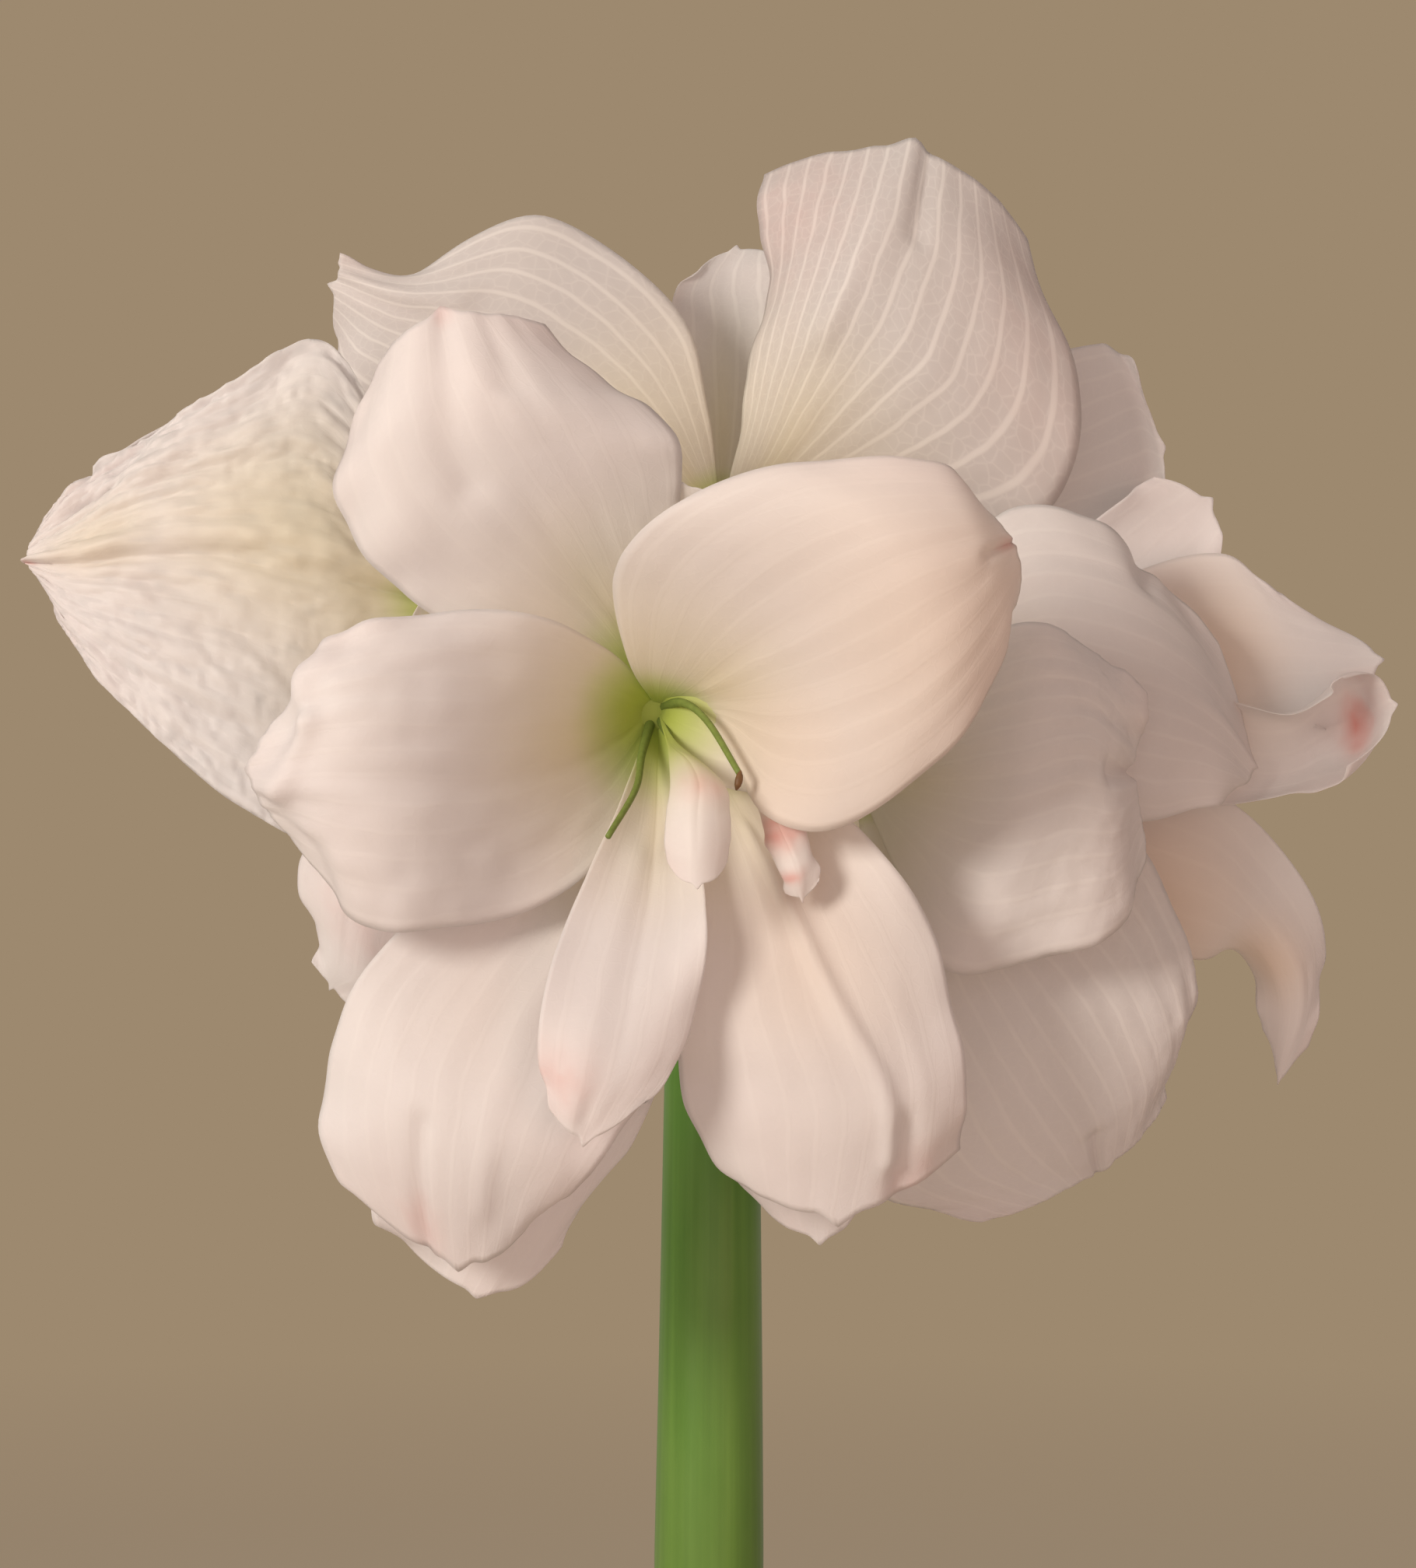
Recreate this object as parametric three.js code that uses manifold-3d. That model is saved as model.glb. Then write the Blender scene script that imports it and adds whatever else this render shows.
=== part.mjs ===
// Potted amaryllis with four double white blooms on one thick flower stalk.
// Units are millimetres and +Z is up. The stalk stands on the Z axis and the pot rests on Z = 0.
import * as THREE from "three";
import { mergeVertices } from "three/addons/utils/BufferGeometryUtils.js";
import Module from "manifold-3d";

const wasm = await Module();
wasm.setup();

// Driving dimensions
const GAP = 0.3; // clearance between neighbouring pieces
const BLADE = 0.7; // thickness of a petal
const POT = { height: 140, rim: 80, rimHeight: 24, top: 75, base: 55, wall: 6, floor: 8, lip: 3, drain: 9 };
const POT_SIDES = 32;
const SOIL = { top: 118, edgeDrop: 3, rings: 5, lump: 1.6 };
const BULB = { x: 8, y: 10, bottom: 84, widest: 118, shoulder: 140, top: 170, radius: 43, neck: 26 };
const SCAPE = { foot: 100, top: 484, radius: 11.8, topRadius: 9.9, headRadius: 11.5, sides: 12 };
const UMBEL = [1, 0, 486]; // where the four flower stalks part
const LEAF = { thickness: 2.4, foot: 146, footHalfWidth: 8, halfWidth: 14, fromAxis: 11 };
const ROOTS = { count: 7, reach: 24, depth: 26 };
const OVARY = 9; // length of the straight part behind a bloom's neck

const COLOURS = {
  petal: 0xf4e9e2,
  green: 0x6f8f2f,
  filament: 0xb9c48a,
  papery: 0xb08a5a,
  leaf: 0x5f8a34,
  bulb: 0x8a5a34,
  soil: 0x3a2a20,
  clay: 0xb5623c,
};

// Each bloom has a neck, where its ovary ends, and a heart, the bottom of its throat.
// A petal starts at the heart. Its rows run from there to the tip, and a row is one edge,
// the midrib and the other edge. These points were chosen by hand.
const BLOOMS = {
  front: {
    stalk: [[-2, -10, 505], [-5, -21, 520]],
    neck: [-9, -38, 532],
    heart: [-10, -53, 535],
    petals: {
      upper_left: [
        [[-26, -66, 544], [-18, -64, 552], [-9, -68, 556]],
        [[-47, -74, 549], [-29, -78, 568], [-5, -74, 574]],
        [[-62, -78, 559], [-39, -88, 581], [-6, -76, 586]],
        [[-72, -80, 578], [-46, -92, 594], [-16, -78, 597]],
        [[-66, -80, 598], [-51, -88, 611], [-33, -80, 607]],
      ],
      left: [
        [[-17, -70, 544], [-21, -64, 530], [-18, -70, 509]],
        [[-31, -86, 552], [-37, -84, 526], [-33, -82, 496]],
        [[-51, -96, 553], [-54, -100, 525], [-52, -92, 492]],
        [[-69, -98, 548], [-70, -104, 525], [-69, -92, 495]],
        [[-77, -92, 539], [-87, -94, 523], [-79, -88, 510]],
      ],
      upper_right: [
        [[-16, -74, 545], [-1, -68, 538], [2, -70, 530]],
        [[-18, -92, 560], [11, -90, 543], [11, -84, 514]],
        [[-9, -104, 571], [24, -106, 549], [25, -92, 511]],
        [[14, -112, 580], [38, -116, 556], [42, -100, 523]],
        [[39, -112, 579], [50, -114, 562], [55, -104, 544]],
        [[52, -106, 572], [57, -106, 565], [60, -102, 556]],
      ],
      lower_left: [
        [[-29, -64, 518], [-18, -60, 509], [-8, -66, 506]],
        [[-50, -76, 502], [-30, -76, 490], [-8, -78, 487]],
        [[-69, -84, 479], [-42, -88, 471], [-7, -84, 466]],
        [[-75, -84, 457], [-47, -92, 452], [-22, -86, 448]],
        [[-66, -80, 439], [-48, -82, 427], [-33, -80, 434]],
      ],
      lower_left_back: [
        [[-26, -54, 513], [-17, -50, 506], [-5, -56, 503]],
        [[-45, -62, 490], [-26, -60, 481], [-5, -64, 481]],
        [[-63, -68, 463], [-35, -68, 457], [-9, -68, 462]],
        [[-66, -70, 438], [-38, -70, 435], [-18, -68, 445]],
        [[-62, -68, 430], [-45, -68, 420], [-32, -66, 424]],
      ],
      inner_bottom: [
        [[-16, -70, 520], [-10, -66, 517], [-5, -70, 518]],
        [[-23, -84, 503], [-11, -80, 500], [-1, -84, 501]],
        [[-30, -96, 485], [-14, -94, 483], [0, -92, 490]],
        [[-32, -102, 469], [-17, -102, 467], [-4, -96, 471]],
        [[-29, -102, 459], [-23, -102, 453], [-14, -100, 459]],
      ],
      lower_right: [
        [[-6, -64, 517], [3, -60, 521], [13, -66, 524]],
        [[-3, -76, 499], [14, -76, 499], [30, -78, 511]],
        [[-6, -84, 478], [21, -88, 477], [44, -84, 491]],
        [[-6, -82, 461], [27, -90, 459], [48, -84, 467]],
        [[6, -78, 444], [25, -84, 436], [50, -80, 448]],
      ],
      lower_right_back: [
        [[-5, -52, 512], [5, -50, 512], [14, -54, 515]],
        [[-2, -60, 490], [12, -58, 490], [31, -62, 495]],
        [[-2, -64, 469], [18, -64, 468], [40, -64, 475]],
        [[2, -64, 448], [21, -66, 446], [40, -64, 452]],
        [[10, -62, 434], [22, -64, 430], [29, -62, 434]],
      ],
      top_back: [
        [[-17, -58, 544], [-9, -56, 546], [-2, -58, 544]],
        [[-20, -66, 556], [-8, -64, 560], [5, -66, 556]],
        [[-18, -72, 568], [-5, -70, 572], [6, -72, 568]],
        [[-11, -74, 576], [-5, -74, 578], [2, -74, 576]],
      ],
      left_back: [
        [[-22, -62, 540], [-23, -60, 531], [-20, -62, 520]],
        [[-40, -72, 544], [-42, -72, 526], [-38, -72, 507]],
        [[-58, -79, 541], [-60, -81, 524], [-58, -78, 506]],
        [[-68, -81, 536], [-71, -83, 523], [-68, -80, 511]],
      ],
      staminode_white: [
        [[-8, -70, 528], [-7, -72, 527], [-6, -70, 528]],
        [[-7, -90, 520], [-2, -93, 521], [3, -90, 520]],
        [[-8, -94, 514], [-2, -98, 514], [4, -94, 514]],
        [[-8, -96, 508], [-2, -100, 507], [4, -96, 508]],
        [[-7, -97, 502], [-2, -100, 501], [3, -97, 502]],
      ],
      staminode_pink: [
        [[1, -62, 527], [3, -64, 528], [4, -62, 529]],
        [[8, -75, 518], [10, -77, 519], [12, -75, 521]],
        [[12, -81, 510], [14, -85, 511], [18, -81, 514]],
        [[13, -84, 503], [17, -88, 504], [20, -84, 507]],
        [[16, -85, 499], [18, -86, 498], [20, -85, 500]],
      ],
    },
    axis: [0, -1, 0],
    hidden: [{ tip: [36, -78, 534], width: 34 }],
  },
  left: {
    stalk: [[-9, -3, 508], [-21, -7, 532]],
    neck: [-39, -15, 550],
    heart: [-50, -21, 556],
    petals: {
      far_left: [
        [[-63, -27, 585], [-66, -29, 561], [-63, -31, 528]],
        [[-79, -31, 612], [-80, -36, 565], [-78, -39, 509]],
        [[-100, -31, 601], [-98, -38, 568], [-95, -42, 515]],
        [[-118, -30, 591], [-117, -37, 568], [-113, -41, 530]],
        [[-130, -29, 582], [-131, -34, 566], [-128, -36, 546]],
        [[-139, -29, 571], [-141, -30, 566], [-138, -31, 563]],
      ],
      far_left_back: [
        [[-63, -20, 580], [-67, -16, 564], [-65, -20, 538]],
        [[-83, -18, 603], [-84, -12, 571], [-83, -18, 528]],
        [[-102, -18, 600], [-103, -12, 573], [-100, -19, 531]],
        [[-121, -20, 592], [-119, -14, 574], [-115, -20, 544]],
        [[-129, -20, 584], [-131, -18, 573], [-128, -20, 556]],
      ],
      lower: [
        [[-66, -22, 538], [-60, -24, 533], [-52, -24, 529]],
        [[-77, -26, 518], [-67, -30, 512], [-56, -28, 508]],
        [[-84, -28, 504], [-73, -34, 496], [-63, -30, 489]],
        [[-82, -28, 491], [-75, -32, 484], [-66, -28, 475]],
        [[-81, -28, 481], [-78, -28, 478], [-76, -26, 475]],
      ],
      upper: [
        [[-59, -32, 569], [-51, -28, 571], [-42, -32, 569]],
        [[-64, -42, 581], [-49, -36, 587], [-35, -42, 583]],
        [[-64, -52, 593], [-47, -46, 599], [-32, -52, 595]],
        [[-57, -58, 602], [-46, -54, 606], [-36, -56, 604]],
      ],
      near_upper: [
        [[-56, -36, 569], [-51, -40, 562], [-46, -36, 555]],
        [[-61, -46, 577], [-54, -54, 567], [-49, -48, 556]],
        [[-65, -54, 580], [-58, -64, 568], [-54, -57, 557]],
        [[-66, -60, 575], [-62, -66, 566], [-58, -61, 558]],
      ],
      near_lower: [
        [[-56, -35, 548], [-51, -38, 543], [-43, -35, 543]],
        [[-64, -44, 540], [-56, -50, 532], [-45, -45, 529]],
        [[-71, -52, 532], [-61, -59, 521], [-48, -53, 517]],
        [[-73, -56, 521], [-66, -61, 512], [-54, -57, 509]],
      ],
    },
    axis: [-0.75, -0.6, 0.1],
    hidden: [
      { tip: [-58, -64, 543], width: 18 },
      { tip: [-104, 30, 584], width: 46 },
      { tip: [-98, 24, 524], width: 44 },
    ],
  },
  right: {
    stalk: [[7, -4, 502]],
    neck: [22, -13, 516],
    heart: [31, -18, 521],
    petals: {
      upper_back: [
        [[49, -2, 546], [54, -1, 541], [59, -2, 535]],
        [[71, 1, 567], [78, 2, 557], [86, 0, 546]],
        [[88, 2, 581], [97, 4, 571], [103, 1, 557]],
        [[98, 3, 587], [108, 4, 581], [112, 2, 571]],
      ],
      upper: [
        [[43, -34, 553], [49, -40, 540], [51, -42, 528]],
        [[60, -36, 576], [68, -46, 548], [67, -48, 521]],
        [[78, -34, 574], [85, -46, 545], [85, -48, 512]],
        [[93, -30, 564], [101, -42, 537], [99, -44, 515]],
        [[107, -28, 545], [112, -34, 524], [108, -36, 521]],
      ],
      rolled_back: [
        [[61, -8, 551], [63, -10, 543], [64, -14, 533]],
        [[88, -6, 564], [89, -10, 546], [88, -14, 529]],
        [[109, -10, 569], [113, -16, 546], [112, -20, 525]],
        [[121, -12, 559], [127, -18, 546], [125, -22, 528]],
        [[135, -12, 553], [141, -16, 546], [137, -18, 538]],
      ],
      rolled_front: [
        [[63, -26, 537], [62, -32, 529], [64, -30, 521]],
        [[92, -26, 541], [91, -32, 528], [91, -30, 516]],
        [[117, -34, 538], [117, -28, 525], [113, -32, 516]],
        [[126, -36, 547], [132, -25, 531], [126, -35, 520]],
        [[136, -36, 545], [141, -32, 536], [137, -35, 526]],
      ],
      drooping: [
        [[64, -18, 528], [62, -20, 518], [59, -18, 508]],
        [[90, -18, 525], [86, -22, 508], [81, -18, 494]],
        [[110, -16, 516], [105, -22, 500], [100, -16, 484]],
        [[128, -12, 492], [119, -18, 487], [111, -12, 483]],
        [[130, -10, 477], [124, -14, 474], [117, -10, 474]],
        [[123, -8, 461], [121, -8, 457], [120, -8, 464]],
      ],
      near: [
        [[44, -44, 543], [45, -50, 520], [38, -44, 502]],
        [[62, -60, 552], [60, -66, 521], [47, -60, 483]],
        [[76, -60, 547], [73, -68, 524], [66, -62, 485]],
        [[84, -60, 541], [80, -66, 521], [82, -60, 492]],
        [[89, -56, 532], [85, -58, 521], [90, -56, 509]],
      ],
      lower: [
        [[59, -34, 515], [45, -36, 501], [32, -36, 494]],
        [[84, -38, 512], [57, -44, 483], [32, -42, 471]],
        [[97, -40, 491], [67, -48, 468], [30, -44, 450]],
        [[98, -38, 472], [77, -46, 452], [35, -42, 435]],
        [[94, -36, 451], [80, -40, 441], [62, -40, 431]],
      ],
    },
    axis: [0.96, -0.25, 0],
    hidden: [
      { tip: [84, 34, 553], width: 46 },
      { tip: [84, 26, 480], width: 46 },
      { tip: [66, 8, 452], width: 38 },
      { tip: [78, -33, 532], width: 18 },
    ],
  },
  back: {
    stalk: [[2, 5, 512], [3, 8, 535]],
    neck: [3, 9, 564],
    heart: [3, 10, 577],
    petals: {
      upper_left: [
        [[-18, 5, 582], [-12, 2, 595], [0, 4, 600]],
        [[-39, 4, 588], [-30, -2, 608], [-7, 0, 623]],
        [[-58, 2, 595], [-46, -6, 616], [-35, -2, 641]],
        [[-78, 0, 605], [-66, -8, 620], [-63, -6, 630]],
        [[-81, -2, 616], [-80, -6, 626], [-79, -6, 632]],
      ],
      up_back: [
        [[-5, 16, 596], [3, 18, 598], [13, 16, 598]],
        [[-8, 20, 614], [3, 24, 618], [15, 20, 617]],
        [[-7, 24, 627], [2, 28, 630], [15, 24, 630]],
        [[-1, 28, 636], [6, 30, 639], [14, 28, 639]],
      ],
      up_right: [
        [[5, 0, 588], [15, -4, 589], [28, -2, 578]],
        [[8, -2, 603], [25, -10, 605], [51, -4, 573]],
        [[11, 0, 621], [34, -14, 621], [74, -6, 578]],
        [[12, 4, 637], [40, -12, 638], [79, -4, 604]],
        [[11, 10, 654], [44, -4, 656], [69, 2, 640]],
      ],
      right: [
        [[26, 18, 590], [29, 18, 576], [29, 16, 562]],
        [[53, 18, 607], [56, 18, 583], [52, 14, 562]],
        [[77, 18, 615], [78, 16, 589], [77, 12, 567]],
        [[88, 19, 616], [94, 17, 596], [96, 16, 568]],
        [[93, 17, 609], [99, 15, 594], [100, 15, 579]],
      ],
    },
    axis: [0.05, 0.8, 0.6],
    hidden: [
      { tip: [-74, 76, 598], width: 56 },
      { tip: [78, 74, 594], width: 56 },
      { tip: [4, 82, 642], width: 54 },
      { tip: [2, 113, 552], width: 54 },
      { tip: [-26, 76, 626], width: 24 },
      { tip: [28, 84, 596], width: 24 },
    ],
  },
};

// Green filaments of the front bloom, from its heart outwards. The first carries the anther.
const FILAMENTS = [
  [[-10, -52, 535], [-5, -66, 536], [0, -74, 532], [6, -85, 522]],
  [[-10, -52, 534], [-7, -68, 528], [-4, -79, 523]],
  [[-11, -52, 534], [-13, -66, 526], [-14, -78, 519], [-19, -90, 510]],
];

// Joins and cuts

function solidOf(geometry) {
  const bare = geometry.index ? geometry.toNonIndexed() : geometry.clone();
  bare.deleteAttribute("normal");
  bare.deleteAttribute("uv");
  const merged = mergeVertices(bare, 1e-4);
  return new wasm.Manifold(
    new wasm.Mesh({
      numProp: 3,
      vertProperties: merged.attributes.position.array,
      triVerts: new Uint32Array(merged.index.array),
    }),
  );
}

function geometryOf(solid) {
  const mesh = solid.getMesh();
  return new THREE.BufferGeometry()
    .setAttribute("position", new THREE.BufferAttribute(new Float32Array(mesh.vertProperties), 3))
    .setIndex(new THREE.BufferAttribute(new Uint32Array(mesh.triVerts), 1));
}

function joined(solids) {
  return solids.reduce((sum, next) => sum.add(next));
}

// Fills the small hollows that crossing petals seal, which come apart as bodies turned inside out.
function filled(solid) {
  return joined(solid.decompose().filter((body) => body.volume() > 0));
}

// A closed solid from a grid of points on its outer face and the same grid on its inner face.
function shellBetween(outer, inner) {
  const rows = outer.length;
  const columns = outer[0].length;
  const positions = [];
  const index = [];
  [outer, inner].forEach((face) => face.forEach((row) => row.forEach((p) => positions.push(p.x, p.y, p.z))));
  const at = (side, i, j) => side * rows * columns + i * columns + j;
  const quad = (a, b, c, d) => index.push(a, b, c, a, c, d);
  for (let i = 0; i < rows - 1; i++) {
    for (let j = 0; j < columns - 1; j++) {
      quad(at(0, i, j), at(0, i + 1, j), at(0, i + 1, j + 1), at(0, i, j + 1));
      index.push(at(1, i, j), at(1, i + 1, j + 1), at(1, i + 1, j));
      index.push(at(1, i, j), at(1, i, j + 1), at(1, i + 1, j + 1));
    }
  }
  for (let i = 0; i < rows - 1; i++) {
    quad(at(0, i, 0), at(1, i, 0), at(1, i + 1, 0), at(0, i + 1, 0));
    quad(at(0, i + 1, columns - 1), at(1, i + 1, columns - 1), at(1, i, columns - 1), at(0, i, columns - 1));
  }
  for (let j = 0; j < columns - 1; j++) {
    quad(at(0, 0, j + 1), at(1, 0, j + 1), at(1, 0, j), at(0, 0, j));
    quad(at(0, rows - 1, j), at(1, rows - 1, j), at(1, rows - 1, j + 1), at(0, rows - 1, j + 1));
  }
  const geometry = new THREE.BufferGeometry()
    .setAttribute("position", new THREE.Float32BufferAttribute(positions, 3))
    .setIndex(index);
  const solid = solidOf(geometry);
  return solid.volume() > 0 ? solid : solidOf(geometry.setIndex(index.toReversed()));
}

// A blade through rows of [edge, rib, edge]: across, each row is a parabola through its three
// points. The margin waves out of the face, more towards the tip, and the tip has a small point.
function blade(rows, { thickness, ruffle, waves, point, along, across, phase }) {
  const curve = (column) =>
    new THREE.CatmullRomCurve3(rows.map((row) => row[column].clone()), false, "catmullrom", 0.5);
  const [left, rib, right] = [0, 1, 2].map(curve);
  const grid = [];
  for (let i = 0; i <= along; i++) {
    const u = i / along;
    const [a, m, b] = [left, rib, right].map((c) => c.getPoint(u));
    const halfSpan = b.clone().sub(a).divideScalar(2);
    const sag = a.clone().add(b).divideScalar(2).sub(m);
    const forward = rib.getTangent(u);
    grid.push([]);
    for (let j = 0; j <= across; j++) {
      const v = (2 * j) / across - 1;
      const p = m.clone().addScaledVector(halfSpan, v).addScaledVector(sag, v * v);
      p.addScaledVector(forward, point * u ** 8 * Math.exp(-((v / 0.16) ** 2)));
      grid[i].push(p);
    }
  }
  const clamp = (k, most) => Math.min(Math.max(k, 0), most);
  const normal = (i, j) => {
    const du = grid[clamp(i + 1, along)][j].clone().sub(grid[clamp(i - 1, along)][j]);
    const dv = grid[i][clamp(j + 1, across)].clone().sub(grid[i][clamp(j - 1, across)]);
    return du.cross(dv).normalize();
  };
  const face = (side) =>
    grid.map((row, i) =>
      row.map((p, j) => {
        const u = i / along;
        const v = (2 * j) / across - 1;
        const wave = Math.sin(2 * Math.PI * waves * u + phase + (v > 0 ? 1.7 : 0));
        const lift = ruffle * u ** 0.8 * Math.abs(v) ** 2.5 * wave;
        return p.clone().addScaledVector(normal(i, j), lift + (side * thickness) / 2);
      }),
    );
  return shellBetween(face(1), face(-1));
}

// A closed tube with its own radius at each point of its path.
function taperedTube(path, radii, sides, steps) {
  const points = path.map((p) => new THREE.Vector3(...p));
  const curve = new THREE.CatmullRomCurve3(points, false, "catmullrom", 0.5);
  const frames = curve.computeFrenetFrames(steps, false);
  const positions = [];
  const index = [];
  for (let i = 0; i <= steps; i++) {
    const centre = curve.getPointAt(i / steps);
    const at = (i / steps) * (radii.length - 1);
    const k = Math.min(Math.floor(at), radii.length - 2);
    const radius = THREE.MathUtils.lerp(radii[k], radii[k + 1], at - k);
    for (let j = 0; j < sides; j++) {
      const angle = (2 * Math.PI * j) / sides;
      const p = centre
        .clone()
        .addScaledVector(frames.normals[i], radius * Math.cos(angle))
        .addScaledVector(frames.binormals[i], radius * Math.sin(angle));
      positions.push(p.x, p.y, p.z);
    }
  }
  for (let i = 0; i < steps; i++) {
    for (let j = 0; j < sides; j++) {
      const [a, b] = [i * sides + j, i * sides + ((j + 1) % sides)];
      index.push(a, b, b + sides, a, b + sides, a + sides);
    }
  }
  [0, steps].forEach((i) => {
    const centre = curve.getPointAt(i / steps);
    positions.push(centre.x, centre.y, centre.z);
    const hub = positions.length / 3 - 1;
    for (let j = 0; j < sides; j++) {
      const rim = [i * sides + j, i * sides + ((j + 1) % sides)];
      index.push(hub, ...(i === 0 ? rim.toReversed() : rim));
    }
  });
  return solidOf(
    new THREE.BufferGeometry()
      .setAttribute("position", new THREE.Float32BufferAttribute(positions, 3))
      .setIndex(index),
  );
}

function turned(profile, sides) {
  const points = profile.map(([r, z]) => new THREE.Vector2(r, z));
  return solidOf(new THREE.LatheGeometry(points, sides).rotateX(Math.PI / 2));
}

// Pot, soil and bulb

function makePot() {
  const { height, rim, top, base, wall, floor, lip, drain } = POT;
  const shoulder = height - POT.rimHeight;
  return turned(
    [
      [drain, 0],
      [base - 2, 0],
      [base, 2],
      [top, shoulder],
      [rim - 1.5, shoulder],
      [rim, shoulder + 2],
      [rim, height - lip],
      [rim - lip, height],
      [top - wall + lip, height],
      [top - wall, height - lip],
      [base - wall, floor],
      [drain, floor],
      [drain, 0],
    ],
    POT_SIDES,
  );
}

function innerRadius(z) {
  const share = (z - POT.floor) / (POT.height - POT.lip - POT.floor);
  return THREE.MathUtils.lerp(POT.base - POT.wall, POT.top - POT.wall, share);
}

// A lumpy top: the height of each ring point is shifted by a few waves of unlike length.
function soilHeight(x, y) {
  const lumps = Math.sin(x / 5.1 + 1) * Math.cos(y / 6.3) + 0.7 * Math.sin(x / 2.9 - y / 3.7);
  return SOIL.top + SOIL.lump * lumps;
}

function makeSoil(bulbHole) {
  const wallGap = 2 * GAP; // more than one gap, because the pot and the soil have flat sides
  const positions = [];
  const index = [];
  const ringAt = (radius, heightOf) => {
    const first = positions.length / 3;
    for (let j = 0; j < POT_SIDES; j++) {
      const angle = (2 * Math.PI * j) / POT_SIDES;
      const [x, y] = [radius * Math.cos(angle), radius * Math.sin(angle)];
      positions.push(x, y, heightOf(x, y));
    }
    return first;
  };
  const bottomRing = ringAt(innerRadius(POT.floor) - wallGap, () => POT.floor + GAP);
  const rings = [bottomRing];
  for (let i = SOIL.rings; i > 0; i--) {
    const rim = innerRadius(SOIL.top) - wallGap;
    const heightOf = i === SOIL.rings ? () => SOIL.top - SOIL.edgeDrop : soilHeight;
    rings.push(ringAt((rim * i) / SOIL.rings, heightOf));
  }
  for (let k = 0; k < rings.length - 1; k++) {
    for (let j = 0; j < POT_SIDES; j++) {
      const next = (j + 1) % POT_SIDES;
      index.push(rings[k] + j, rings[k] + next, rings[k + 1] + next);
      index.push(rings[k] + j, rings[k + 1] + next, rings[k + 1] + j);
    }
  }
  const hubs = [
    [POT.floor + GAP, bottomRing, true],
    [soilHeight(0, 0), rings.at(-1), false],
  ];
  hubs.forEach(([z, ring, down]) => {
    positions.push(0, 0, z);
    const hub = positions.length / 3 - 1;
    for (let j = 0; j < POT_SIDES; j++) {
      const rim = [ring + j, ring + ((j + 1) % POT_SIDES)];
      index.push(hub, ...(down ? rim.toReversed() : rim));
    }
  });
  const heap = new THREE.BufferGeometry()
    .setAttribute("position", new THREE.Float32BufferAttribute(positions, 3))
    .setIndex(index);
  return solidOf(heap).subtract(bulbHole);
}

function bulbBody(grow) {
  const { bottom, widest, shoulder, top, radius, neck } = BULB;
  return turned(
    [
      [0, bottom - grow],
      [15 + grow, bottom - grow],
      [radius - 13 + grow, bottom + 9 - grow],
      [radius - 3 + grow, widest - 13],
      [radius + grow, widest],
      [radius - 2 + grow, widest + 12],
      [radius - 7 + grow, shoulder + 2],
      [neck + 5 + grow, shoulder + 12],
      [neck + 1 + grow, top - 8],
      [neck - 1 + grow, top + grow],
      [0, top + grow],
    ],
    20,
  ).translate([BULB.x, BULB.y, 0]);
}

// Roots leave the base plate all round and curl down into the soil.
function rootSolids(grow) {
  return Array.from({ length: ROOTS.count }, (_, i) => {
    const angle = (2 * Math.PI * (i + 0.3 * Math.sin(5 * i))) / ROOTS.count;
    const [c, s] = [Math.cos(angle), Math.sin(angle)];
    const reach = ROOTS.reach + 5 * Math.sin(3 * i);
    const end = ROOTS.depth + 2 * i;
    const at = (r, z) => [BULB.x + r * c, BULB.y + r * s, z];
    const start = [at(11, BULB.bottom + 6), at(18, BULB.bottom - 14)];
    const path = [...start, at(reach, BULB.bottom - 38), at(reach, end)];
    return taperedTube(path, [2.2 + grow, 2 + grow, 1.5 + grow, 1 + grow], 4, 4);
  });
}

// The leaves stand in two opposite fans beside the flower stalk.
const LEAVES = [
  { name: "leaf_tall_left", offset: -4, lean: -16, top: 296 },
  { name: "leaf_tall_right", offset: 4, lean: 22, top: 276 },
  { name: "leaf_low_left", offset: -11, lean: -46, top: 246 },
  { name: "leaf_low_right", offset: 11, lean: 52, top: 232 },
];

function leafSolid({ offset, lean, top }, grow) {
  const away = new THREE.Vector3(BULB.x, BULB.y, 0).normalize();
  const fan = new THREE.Vector3(away.y, -away.x, 0);
  const rows = [0, 0.2, 0.45, 0.7, 0.88, 1].map((u) => {
    const z = THREE.MathUtils.lerp(LEAF.foot - grow, top, u);
    const open = THREE.MathUtils.smoothstep(u, 0.12, 0.5);
    const taper = 1 - 0.75 * THREE.MathUtils.smoothstep(u, 0.6, 1);
    const halfWidth = THREE.MathUtils.lerp(LEAF.footHalfWidth, LEAF.halfWidth, open) * taper + grow;
    const rib = new THREE.Vector3(BULB.x, BULB.y, z)
      .addScaledVector(fan, offset + lean * open * u ** 1.6)
      .addScaledVector(away, LEAF.fromAxis + 4 * open);
    const cup = -0.18 * Math.sign(lean) * halfWidth;
    return [-1, 0, 1].map((v) =>
      rib.clone().addScaledVector(away, v * halfWidth).addScaledVector(fan, cup * v * v),
    );
  });
  const thickness = LEAF.thickness + 2 * grow;
  return blade(rows, { thickness, ruffle: 0, waves: 0, point: 3, along: 10, across: 2, phase: 0 });
}

// A point on the line from a bloom's neck to its heart, a given distance past the neck.
function towardHeart({ neck, heart }, distance) {
  const start = new THREE.Vector3(...neck);
  const along = new THREE.Vector3(...heart).sub(start).normalize();
  return start.addScaledVector(along, distance).toArray();
}

// The thick stalk, with the four flower stalks and ovaries that it carries, grown as one

function scapeShaft(grow) {
  const { foot, top, radius, topRadius, sides } = SCAPE;
  const path = [[0, 0, foot - grow], [0, 0, 300], [UMBEL[0] * 0.6, 0, 400], [UMBEL[0], 0, top]];
  return taperedTube(path, [radius + grow, radius + grow, radius + grow, topRadius + grow], sides, 12);
}

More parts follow.
